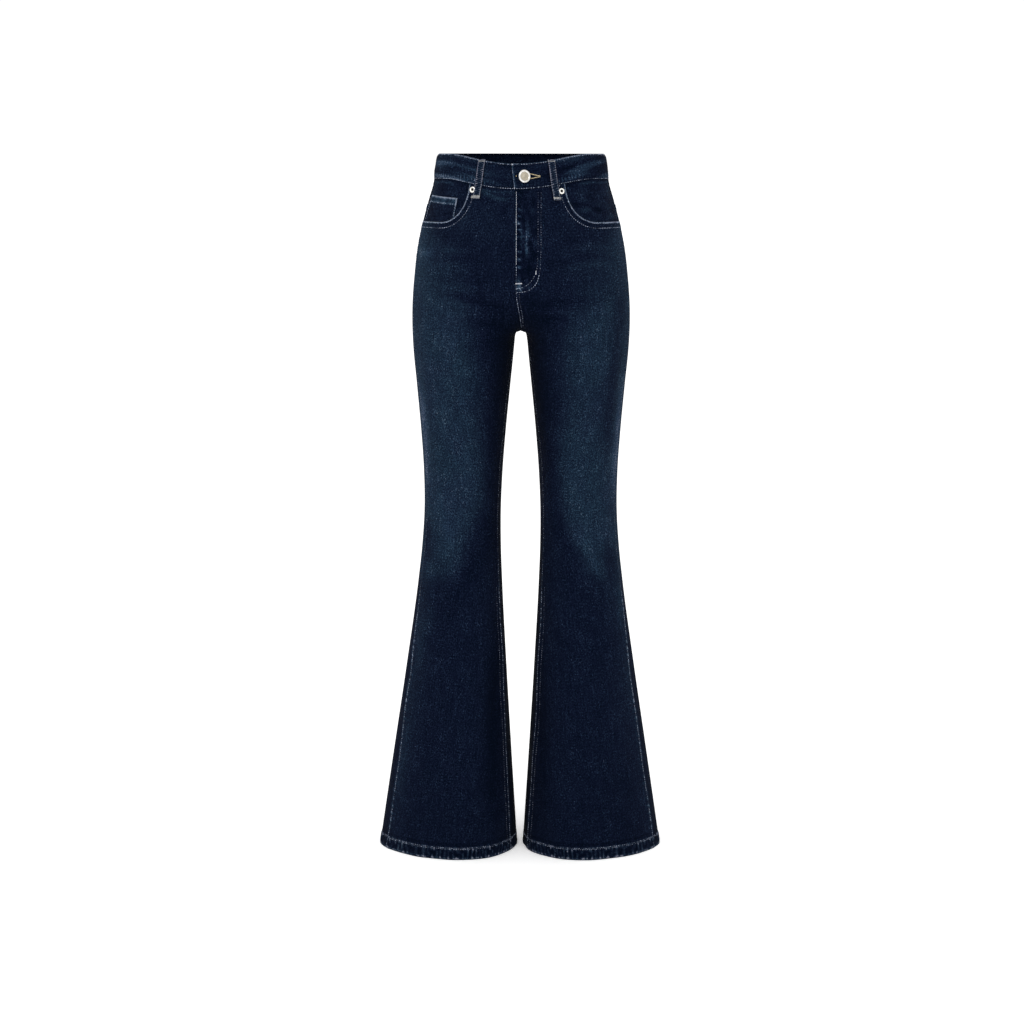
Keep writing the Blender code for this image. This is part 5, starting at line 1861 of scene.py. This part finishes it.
    def seat(self) -> list[Threads]:
        """The rows under the yoke seams and beside the centre back seam."""
        rows = []
        turns = np.linspace(0.004, 0.996, 260)
        for hand in Hand:
            for drop in self.seam_rows:
                heights = CUT.yoke_seam(turns) - SEAM_GAP - drop
                rows.append(FINE.on(self.back, FORM.place(BACK, hand, turns, heights)))
        yoke = (-40 * MM, CUT.yoke_centre + 1 * MM)
        seat = (CUT.yoke_centre - 9 * MM, -262 * MM)
        for inside in self.seam_rows:
            for layer, span in ((self.yoke, yoke), (self.back, seat)):
                place = FORM.place_at(BACK, LEFT, inside, np.linspace(*span, 160))
                rows.append(FINE.on(layer, place))
        return rows

    def tack(
        self, layer: Layer, hand: Hand, centre: Sequence[float], half: Sequence[float], width: float
    ) -> Threads:
        """A bartack on the front: close threads across a short line.

        Args:
            layer: the cloth that it is on.
            hand: the cloth's hand.
            centre: its middle, as a distance from the centre seam and a height, in mm.
            half: half its length, along the cloth and up, in mm.
            width: the length of each thread, in mm.

        Returns:
            Its threads.
        """
        length = math.hypot(*half)
        shares = np.linspace(-1, 1, max(4, int(2 * length / 0.5)))[:, None]
        line = np.array(centre) + np.array(half) * shares
        across = np.array((-half[1], half[0])) / length * width / 2
        ends = []
        for path in (line - across, line + across):
            distance = np.maximum(path[:, 0] * MM, 0.2 * MM)
            ends.append(FORM.place_at(FRONT, hand, distance, path[:, 1] * MM))
        low, high = (layer.face(end, 0.15 * MM) for end in ends)
        return Threads(low, high, FORM.frame(ends[0])[1])

    def buttonhole(self) -> list[Threads]:
        """Close threads round the buttonhole's slit, from the eyelet by the band's end to its far point."""
        threads = []
        distances = np.linspace(*self.band.slit, 64)
        for sign in (-1, 1):
            edge = self.band.slit_height + sign * self.band.slit_half(distances)
            inner, outer = (
                FORM.place_at(FRONT, LEFT, distances + lean, edge + sign * reach)
                for reach, lean in ((0, 0), (1.2 * MM, 0.3 * MM))
            )
            ends = self.band.face(inner, 0.15 * MM), self.band.face(outer, 0.1 * MM)
            threads.append(Threads(*ends, FORM.frame(inner)[1]))
        return threads

    def build(self) -> None:
        """Makes every row, one piece for each part of the jeans."""
        thread, white = self.finishes.thread, self.finishes.white_thread
        for hand in Hand:
            SUNK.build(f"stitches_leg_{hand.label}", self.leg_seams(hand), thread)
            FAINT.build(f"stitches_leg_faint_{hand.label}", self.faint_rows(hand), thread)
            SUNK.build(f"stitches_hem_{hand.label}", self.hems(hand), thread)
            PLAIN.build(f"stitches_pocket_mouth_{hand.label}", self.pocket_mouth(hand), thread)
        PLAIN.build("stitches_fly", self.fly(False), thread)
        FLY_UPPER.build("stitches_fly_upper", self.fly(True), thread)
        FLY_EDGE.build("stitches_fly_edge", [self.fly_edge()], white)
        FINE.build("stitches_coin_pocket", self.coin_pocket(), thread, "facing_denim")
        PLAIN.build("stitches_waistband", self.waistband(), thread)
        PLAIN.build("stitches_seat", self.seat(), thread)
        eyelet = self.tack(self.band, LEFT, (0.9, -33.2), (0.1, 0.8), 1.4)
        CLOSE.build("buttonhole_threads", [*self.buttonhole(), eyelet], self.finishes.straw_thread)
        tacks = (
            (self.front, LEFT, (30.5, -175.5), (0.1, 2.4), 1.4),
            (self.front, LEFT, (5, -191.5), (4.6, 0.2), 1.8),
            (self.band, RIGHT, (5.2, -16.2), (0.1, 0.8), 1.6),
            (self.band, RIGHT, (1.8, -51.0), (0.1, 0.8), 1.4),
        )
        CLOSE.build("fly_tacks", [self.tack(*row) for row in tacks], white)


# ---------------------------------------------------------------- straps and patches


def across_centre(side: Side, distances: Any, heights: Any) -> tuple[Array, Array]:
    """Points of the form and directions out of it, where distances run over the centre seam.

    Args:
        side: front or back.
        distances: signed distances from the centre seam, along the cloth; the wearer's left is +.
        heights: heights, of a shape that fits.

    Returns:
        The points and the unit directions.
    """
    distances, heights = spread(distances, heights)
    left, right = (
        FORM.frame(FORM.place_at(side, hand, np.maximum(hand.value * distances, 0), heights))
        for hand in Hand
    )
    return tuple(np.where((distances >= 0)[..., None], *both) for both in zip(left, right))


@dataclass
class BeltLoops:
    """Five straps over the band, folded so that their edges meet behind, bowed clear of it between tacks."""

    finishes: Finishes
    width: float = 10 * MM
    wall: float = 1.6 * MM
    bow: float = 2.2 * MM
    below_seam: float = 20 * MM
    above_top: tuple[float, float] = (0.6 * MM, -0.8 * MM)  # of the band, in front and behind
    length: float = 60 * MM
    loops: tuple[tuple[str, Side, Hand, tuple[float, float]], ...] = (
        ("front_left", FRONT, LEFT, (0.258, 0.280)),
        ("front_right", FRONT, RIGHT, (0.258, 0.280)),
        ("back_left", BACK, LEFT, (0.640, 0.640)),
        ("back_right", BACK, RIGHT, (0.640, 0.640)),
        ("centre_back", BACK, LEFT, (0.0, 0.0)),
    )  # name, quarter, and the turns of its top and its foot

    def strap(
        self, side: Side, hand: Hand, turns: tuple[float, float], shares: Array, across: Array
    ) -> tuple[Array, Array, Array]:
        """A strap's lift, its points on the form and the ways out, for shares down and offsets across."""
        turn = turns[0] + (turns[1] - turns[0]) * shares
        start = float(CUT.top_edge(side, turns[0])) + self.above_top[side is BACK]
        foot = float(CUT.waist_seam(side, turns[1])) - self.below_seam
        if (side, hand) == (FRONT, LEFT):
            foot -= 2 * MM
        heights = start + (foot - start) * shares
        centre = hand.value * FORM.place(side, hand, turn, heights).distance
        points, out = across_centre(side, centre[:, None] + across, heights[:, None])
        bow = self.bow * np.clip(np.sin(math.pi * shares), 0, 1) ** 0.5
        lift = CUT.band_proud + SEAM_GAP + LAYER_GAP / 2 + bow[:, None]
        return lift + 0 * points[..., 0], points, out

    def build(self) -> None:
        """Makes every loop, and the threads that tack them."""
        shares = spaced((0, 0.02, 0.98, 1), (2, 52, 2))
        across, down = spread(
            spaced((-1, -0.9, 0.9, 1), (2, 16, 2)) * self.width / 2, shares[:, None] * self.length
        )
        inward = self.width / 2 - np.abs(across)
        ends = bell(down, 0.8 * MM) + bell(self.length - down, 0.8 * MM)
        ladder = puckers(down + 0.35 * across, 3.3 * MM, seed=131)
        shape = -0.6 * bell(inward, 0.5 * MM) - 0.2 * bell(inward - 2.2 * MM, 0.7 * MM) - 0.4 * ends
        shape = (shape + 0.10 * ladder * bell(inward - 1.5 * MM, 1.5 * MM)) * MM
        rungs = 0.8 + 0.4 * Unevenness(9 * MM, seed=133).at(across, down)
        rungs *= np.clip(2.0 * ladder, -0.8, 1.8) * (0.9 + 0.7 * bell(inward - 2.2 * MM, 1.8 * MM))
        wash = 0.55 + 2.6 * bell(inward, 1.2 * MM) + 2.0 * ends + rungs
        cloth = np.stack([across + 3, -down], axis=-1)
        threads = []
        for name, side, hand, turns in self.loops:
            lift, points, out = self.strap(side, hand, turns, shares, across[0])
            face = points + out * (lift + self.wall + shape)[..., None]
            back = points + out * (lift + 0.1 * MM * ends)[..., None]
            shell = Shell(face, back, cloth, wash)
            made = ClothPiece(
                f"loop_{name}", f"belt_loop_{name}", shell, 0.6, self.finishes.denim, facing=-side.value,
                hangs_from=("waistband_cloth",),
            ).build()
            set_attribute(made, "greyed", 1.0)
            threads += self.tacks(side, hand, turns)
        Sewing(thread=0.26 * MM).build("belt_loop_tacks", threads, self.finishes.slate_thread)

    def tacks(self, side: Side, hand: Hand, turns: tuple[float, float]) -> list[Threads]:
        """The bartack across a strap's foot, reaching past its outer edge, and the row at its top."""
        threads = []
        reach, half = (8.6 * MM, 0.036) if (side, hand) == (FRONT, RIGHT) else (6.4 * MM, 0.022)
        for share, tall, end in ((0.955, half, reach), (0.045, 0.010, 4.9 * MM)):
            places = np.linspace(-5.2 * MM, end, 28) * hand.value
            over = ramp(np.abs(places), 5.0 * MM, 6.6 * MM)
            ends = []
            for shares in (share - tall, share + tall):
                lift, points, out = self.strap(side, hand, turns, np.array([shares]), places)
                high = (lift[0] + self.wall) * (1 - over) + 0.7 * MM * over
                ends.append((points[0] + out[0] * high[:, None], out[0]))
            threads.append(Threads(ends[0][0], ends[1][0], ends[0][1]))
        return threads


@dataclass(frozen=True)
class PatchLayer(Layer):
    """A back pocket's face: it follows the panel under it, with turned edges and a top hem."""

    centre: float = 100 * MM  # from the centre back, along the cloth
    top: float = -112 * MM
    half_widths: tuple[float, float] = (68 * MM, 57 * MM)  # at the top and at the lower corners
    corner_drop: float = 120 * MM
    point_drop: float = 142 * MM
    clear: float = 1.0 * MM  # of the panel under it
    hem: float = 16 * MM

    def spot(self, hand: Hand, across: Array, down: Array) -> Place:
        """Places from offsets across, -1 to 1, and shares down: sides that taper, a shallow point."""
        foot = self.point_drop - (self.point_drop - self.corner_drop) * np.abs(across)
        half = self.half_widths[0] + (self.half_widths[1] - self.half_widths[0]) * down
        distances = self.centre + hand.value * half * across
        return FORM.place_at(BACK, hand, distances, self.top - foot * down)

    def edges(self, place: Place) -> tuple[Array, Array]:
        """Distances from the top edge, and from the nearer of the sides and the foot."""
        offset = np.abs(place.distance - self.centre)
        drop = self.top - place.height
        taper = (self.half_widths[0] - self.half_widths[1]) / self.corner_drop
        side = self.half_widths[0] - taper * drop - offset
        foot = self.point_drop - (self.point_drop - self.corner_drop) * offset / self.half_widths[1] - drop
        return drop, np.minimum(side, foot * 0.96)

    def waves(self, place: Place, edge: Array) -> Array:
        """The puckers along its stitched edges."""
        return puckers(place.distance + place.height, PUCKER, seed=151) * bell(edge - 5 * MM, 4 * MM)

    def under(self, place: Place) -> Array:
        """The lift of its back, which follows the panel's own relief."""
        return relief(place) + self.clear

    def lift(self, place: Place) -> Array:
        """The patch over the panel's relief, thicker where its edges are turned in."""
        top, edge = self.edges(place)
        turned = np.maximum(1 - ramp(top, self.hem, self.hem + 2 * MM), 1 - ramp(edge, 9 * MM, 11 * MM))
        soft = -0.35 * np.maximum(bell(top, 0.7 * MM), bell(edge, 0.7 * MM))
        shape = (0.35 * turned + soft + 0.15 * self.waves(place, edge) - 0.3) * MM
        return self.under(place) + DENIM + shape

    def wash(self, place: Place) -> Array:
        """Worn at its edges, a little faded in the middle."""
        top, edge = self.edges(place)
        worn = 1.3 * np.maximum(bell(top, 1.3 * MM), bell(edge, 1.3 * MM))
        middle = 0.45 * bell(edge - 45 * MM, 30 * MM)
        return 0.35 + middle + worn + 0.4 * self.waves(place, edge) + folds(place)[1]


@dataclass
class BackPockets:
    """Two plain five-sided patches on the seat."""

    finishes: Finishes
    layer: PatchLayer = PatchLayer()

    def build(self) -> None:
        """Makes both patches and their threads."""
        across = spaced((-1, -0.98, 0.98, 1), (3, 90, 3))[None]
        down = spaced(EDGED, (3, 90, 3))[:, None]
        for hand in Hand:
            place = self.layer.spot(hand, across, down)
            points, out = FORM.frame(place)
            back = points + out * self.layer.under(place)[..., None]
            cloth = np.stack([hand.value * place.distance + 5, place.height], axis=-1)
            shell = Shell(self.layer.face(place), back, cloth, self.layer.wash(place))
            ClothPiece(
                f"pocket_patch_{hand.label}", f"back_pocket_{hand.label}", shell, 1.0, self.finishes.denim,
                facing=-1, hangs_from=(f"panel_back_{hand.label}",),
            ).build()
            FINE.build(f"stitches_back_pocket_{hand.label}", self.rows(hand), self.finishes.thread)

    def rows(self, hand: Hand) -> list[Threads]:
        """Two rows round the sides and the foot, and two across the top hem."""
        lines = []
        for inside in (2 * MM, 8 * MM):
            side = 1 - inside / self.layer.half_widths[0]
            foot = 1 - inside / self.layer.corner_drop
            corners = np.array(((-side, 0.015), (-side, foot), (0, foot), (side, foot), (side, 0.015)))
            lines += [(corner, after, 120) for corner, after in zip(corners, corners[1:])]
        for drop in (10 * MM / self.layer.corner_drop, 16 * MM / self.layer.corner_drop):
            lines.append(((-0.98, drop), (0.98, drop), 160))
        return [FINE.on(self.layer, self.layer.spot(hand, *np.linspace(*line).T)) for line in lines]


# ---------------------------------------------------------------- zip and metal trims


def lofted(name: str, rings: Array) -> Object:
    """A closed shape through rings of points, its first and last ring filled.

    Args:
        name: the object's name.
        rings: rings by points round, anticlockwise as seen from the first ring's end.

    Returns:
        The new object.
    """
    index = np.arange(rings.shape[0] * rings.shape[1]).reshape(rings.shape[:2])
    return mesh_object(name, rings, (quads(wrapped(index)), index[:1], index[-1:, ::-1]), sharp=50)


@dataclass(frozen=True)
class Stand:
    """A spot on the cloth, with its own directions across, up and out."""

    origin: Array
    axes: Array

    @classmethod
    def on(cls, hand: Hand, turn: float, height: float, lift: float, tilt: float = 0) -> "Stand":
        """A spot on the front, lifted out of the form and tilted about its own upright."""
        out = FORM.outward(FRONT, hand, turn, height)
        across = np.cross((0, 0, 1), out)
        across /= np.linalg.norm(across)
        upright = np.cross(out, across)
        origin = FORM.points(FRONT, hand, turn, height) + out * lift
        turned_out = out * math.cos(tilt) + across * math.sin(tilt)
        turned_across = across * math.cos(tilt) - out * math.sin(tilt)
        return cls(origin, np.stack([turned_across, upright, turned_out]))

    def place(self, local: Array) -> Array:
        """World points from local ones."""
        return self.origin + local @ self.axes

    def turned(self, profile: Array, steps: int) -> Array:
        """Rings round the spot's own out direction: each point of the profile is a radius and a height."""
        angle = np.arange(steps) * math.tau / steps
        radius, height = profile[:, :1], profile[:, 1:]
        local = [radius * np.cos(angle), radius * np.sin(angle), height + 0 * angle]
        return self.place(np.stack(local, axis=-1))


@dataclass
class FlyZip:
    """The zip behind the fly: woven tape with a chain of moulded teeth, and its slider with a pull tab."""

    finishes: Finishes
    tape: tuple[float, float] = (-8 * MM, 22 * MM)
    chain: tuple[float, float] = (4.5 * MM, 9.5 * MM)
    foot: float = -195 * MM
    rise: float = 1.2 * MM
    outer: float = -(DENIM + 3 * SEAM_GAP)
    slider_below: float = 8 * MM
    top: float = float(CUT.waist_seam(FRONT, 0)) - 2 * MM

    def build(self) -> None:
        """Makes the tape, the teeth and the slider."""
        start, end = self.chain
        knots = (self.tape[0], start - 1 * MM, start, end, end + 1 * MM, self.tape[1])
        heights = spaced((self.top, self.foot), (130,))[:, None]
        distances, heights = spread(spaced(knots, (12, 4, 8, 4, 12)), heights)
        points, out = across_centre(FRONT, distances, heights)
        bulge = ramp(distances, start - 1 * MM, start) * (1 - ramp(distances, end, end + 1 * MM))
        inner = self.outer - LIGHT_DENIM - (self.rise - 0.5 * MM) * bulge
        cloth = np.stack([distances + 7, heights], axis=-1)
        shell = Shell(points + out * self.outer, points + out * inner[..., None], cloth, 0 * distances)
        ClothPiece(
            "zip_tape_woven", "fly_zip", shell, 0.0, self.finishes.tape, "zip_tape",
            hangs_from=("panel_front_left",),
        ).build()
        self.teeth()
        self.slider()

    def teeth(self) -> None:
        """Meshed teeth: short thick bars that reach in turn from each side of the chain."""
        heights = np.arange(self.foot + 3 * MM, self.top - 4 * MM, 1.3 * MM)
        even = np.arange(len(heights)) % 2 == 0
        lift = self.outer - LIGHT_DENIM - self.rise + 0.45 * MM
        start, end = self.chain
        reaches = np.where(even, start, start + 1.4 * MM), np.where(even, end - 1.4 * MM, end)
        (first, out), (last, _) = (across_centre(FRONT, reach, heights) for reach in reaches)
        bars = Threads(first + out * lift, last + out * lift, -out)
        Sewing(thread=0.45 * MM, sides=8).build("zip_teeth", [bars], self.finishes.dark_metal, "nickel")

    def slider(self) -> None:
        """The slider: a flattened tube whose half width and half thickness change down its length."""
        height = self.top - self.slider_below
        turn = float(FORM.place_at(FRONT, LEFT, sum(self.chain) / 2, height).turn)
        lift = self.outer - LIGHT_DENIM - self.rise - 2.5 * SEAM_GAP - 1 * MM
        rows = (
            (6.0, 0.6, 0.3), (5.8, 2.0, 0.7), (5.0, 3.1, 0.95), (3.0, 4.1, 1.0), (0.0, 4.15, 1.0),
            (-3.0, 3.6, 1.0), (-5.0, 2.7, 0.9), (-6.0, 1.5, 0.7), (-7.5, 1.4, 0.55), (-9.0, 2.2, 0.6),
            (-14.0, 2.35, 0.6), (-19.0, 2.4, 0.6), (-21.2, 2.2, 0.55), (-21.9, 1.2, 0.4), (-22.0, 0.4, 0.2),
        )  # height, half width and half thickness
        along, half_width, half_depth = rounded(np.array(rows) * MM, 60).T[..., None]
        angle = np.arange(28) * math.tau / 28
        across, deep = np.cos(angle), np.sin(angle)
        rounding = (np.abs(across) ** 4 + np.abs(deep) ** 4) ** -0.25
        local = [half_width * across * rounding, along + 0 * angle, half_depth * deep * rounding]
        rings = Stand.on(LEFT, turn, height, lift).place(np.stack(local, axis=-1))
        declare(lofted("slider_and_tab", rings[:, ::-1]), self.finishes.dark_metal, "zip_slider")


@dataclass
class MetalTrims:
    """The shank button on the band, and a rivet at the inner corner of each pocket mouth."""

    finishes: Finishes
    button_turn: float = 0.056
    button_height: float = -34 * MM
    button_tilt: float = math.radians(20)
    stem_radius: float = 3.4 * MM
    rivet_turn: float = 0.322
    rivet_heights: tuple[float, float] = (-55.5 * MM, -53.5 * MM)  # left and right
    button_face: tuple[tuple[float, float], ...] = (
        (0.05, 4.50), (0.8, 4.48), (2.0, 4.40), (3.2, 4.26), (4.2, 4.16), (4.6, 4.24), (4.9, 4.20),
        (5.6, 4.10), (6.1, 4.08), (6.5, 4.22), (6.8, 4.62), (7.3, 4.86), (7.9, 4.93), (8.6, 4.84),
        (9.2, 4.56), (9.55, 4.12), (9.6, 3.76), (9.45, 3.30), (9.0, 2.96), (8.6, 2.80), (3.9, 2.80),
        (3.5, 2.6), (3.4, 2.2), (3.4, 0.0), (0.05, 0.0),
    )  # radius and height, in mm
    rivet_head: tuple[tuple[float, float], ...] = (
        (0.05, 1.10), (0.5, 1.05), (0.85, 0.85), (1.1, 0.55), (1.4, 0.40), (1.75, 0.60), (2.2, 1.02),
        (2.8, 1.22), (3.4, 1.20), (4.0, 1.02), (4.45, 0.70), (4.68, 0.36), (4.7, 0.12), (4.6, -0.05),
        (0.05, -0.05),
    )

    def piece(
        self, name: str, node: str, stand: Stand, rows: Any, steps: int, shaded_centre: Sequence[float], finish: Any
    ) -> None:
        """Makes one turned piece.

        Args:
            name: its name.
            node: the node that it replaces.
            stand: the spot that it stands on.
            rows: its profile, radius and height, in mm.
            steps: its points round.
            shaded_centre: the radii, in mm, up to which its recessed face takes the painted shade colour,
                and from which it is bright.
            finish: its material.
        """
        profile = np.array(rows) * MM
        made = lofted(name, stand.turned(profile, steps))
        # painted shade in the recessed centre
        hollow_shade = 1 - ramp(profile[:, 0], shaded_centre[0] * MM, shaded_centre[1] * MM)
        set_attribute(made, "hollow_shade", np.repeat(hollow_shade, steps))
        declare(made, finish, node)

    def build(self) -> None:
        """Makes the button and the rivets."""
        lift = CUT.band_proud + SEAM_GAP + self.stem_radius * math.sin(self.button_tilt)
        stand = Stand.on(LEFT, self.button_turn, self.button_height, lift, self.button_tilt)
        names = "button_cap", "waist_button"
        self.piece(*names, stand, self.button_face, 72, (6.3, 6.9), self.finishes.nickel)
        for hand, height in zip(Hand, self.rivet_heights):
            stand = Stand.on(hand, self.rivet_turn, height, SEAM_GAP)
            names = f"rivet_head_{hand.label}", f"rivet_{hand.label}"
            self.piece(*names, stand, self.rivet_head, 48, (1.9, 2.7), self.finishes.rivet)


# ---------------------------------------------------------------- the studio


@dataclass(frozen=True)
class Studio:
    """A plain pale floor and backdrop, soft white light, and the camera."""

    floor_drop: float = 0.5 * MM
    floor_size: float = 120.0
    distance: float = 3.158
    tilt: float = math.radians(10)
    roll: float = math.radians(-0.08)
    sideways: float = -14.4 * MM
    lens: float = 71.5
    aim: tuple[float, float, float] = (0, 0, -0.5)
    key: tuple[float, ...] = (-1.2, -2.6, 1.6, 24.0)  # where it stands and its power
    fill: tuple[float, ...] = (1.6, -2.4, 0.9, 8.0)
    lamp_size: float = 1.6
    sky: float = 1.05
    glow: float = 0.22  # of the floor
    white: tuple[float, ...] = (1, 1, 1, 1)

    def floor(self) -> None:
        """A wide white floor under the hems."""
        size, z = self.floor_size, CUT.hem - self.floor_drop
        corners = np.array([(-size, -size, z), (size, -size, z), (size, size, z), (-size, size, z)])
        floor = mesh_object("floor", corners, (np.array([[0, 1, 2, 3]]),))
        material, tree = new_material("white_floor")
        glow = add(tree, "Emission", {"Color": self.white, "Strength": self.glow}).outputs[0]
        paint = add(tree, "BsdfDiffuse", {"Color": self.white}).outputs[0]
        both = add(tree, "AddShader", {0: glow, 1: paint})
        add(tree, "OutputMaterial", {"Surface": both.outputs[0]})
        floor.data.materials.append(material)

    def light(self, name: str, place: Sequence[float], power: float) -> None:
        """One square soft light, aimed at the middle of the jeans."""
        data = bpy.data.lights.new(name, "AREA")
        data.size = self.lamp_size
        data.energy = power
        lamp = linked(name, data)
        ahead = np.array(self.aim) - np.array(place)
        flat = math.hypot(ahead[0], ahead[1])
        lamp.rotation_euler = (math.atan2(flat, -ahead[2]), 0, math.atan2(ahead[1], ahead[0]) - math.pi / 2)
        lamp.location = place

    def build(self) -> None:
        """Sets the floor, the lights, the world and the camera."""
        self.floor()
        self.light("key", self.key[:3], self.key[3])
        self.light("fill", self.fill[:3], self.fill[3])
        scene = bpy.context.scene
        scene.world = bpy.data.worlds.new("studio")
        scene.world.use_nodes = True
        sky = scene.world.node_tree.nodes["Background"].inputs
        sky["Color"].default_value = self.white
        sky["Strength"].default_value = self.sky
        data = bpy.data.cameras.new("camera")
        data.lens = self.lens
        data.sensor_width = 36
        camera = linked("camera", data)
        camera.location = (self.sideways, -self.distance, 0)
        camera.rotation_euler = (math.pi / 2 - self.tilt, self.roll, 0)
        scene.camera = camera
        scene.view_settings.view_transform = "Standard"


def main() -> None:
    """Builds the jeans sub-assembly by sub-assembly, then the studio."""
    logging.basicConfig(level=logging.INFO, format="%(message)s")
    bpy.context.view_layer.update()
    finishes = Finishes.make()
    cloth = (Legs, Yokes, PocketFacings, Waistband, Hems, BeltLoops, BackPockets)
    for part in (*cloth, Topstitching, FlyZip, MetalTrims):
        part(finishes).build()
    Studio().build()


if __name__ == "__main__":
    main()
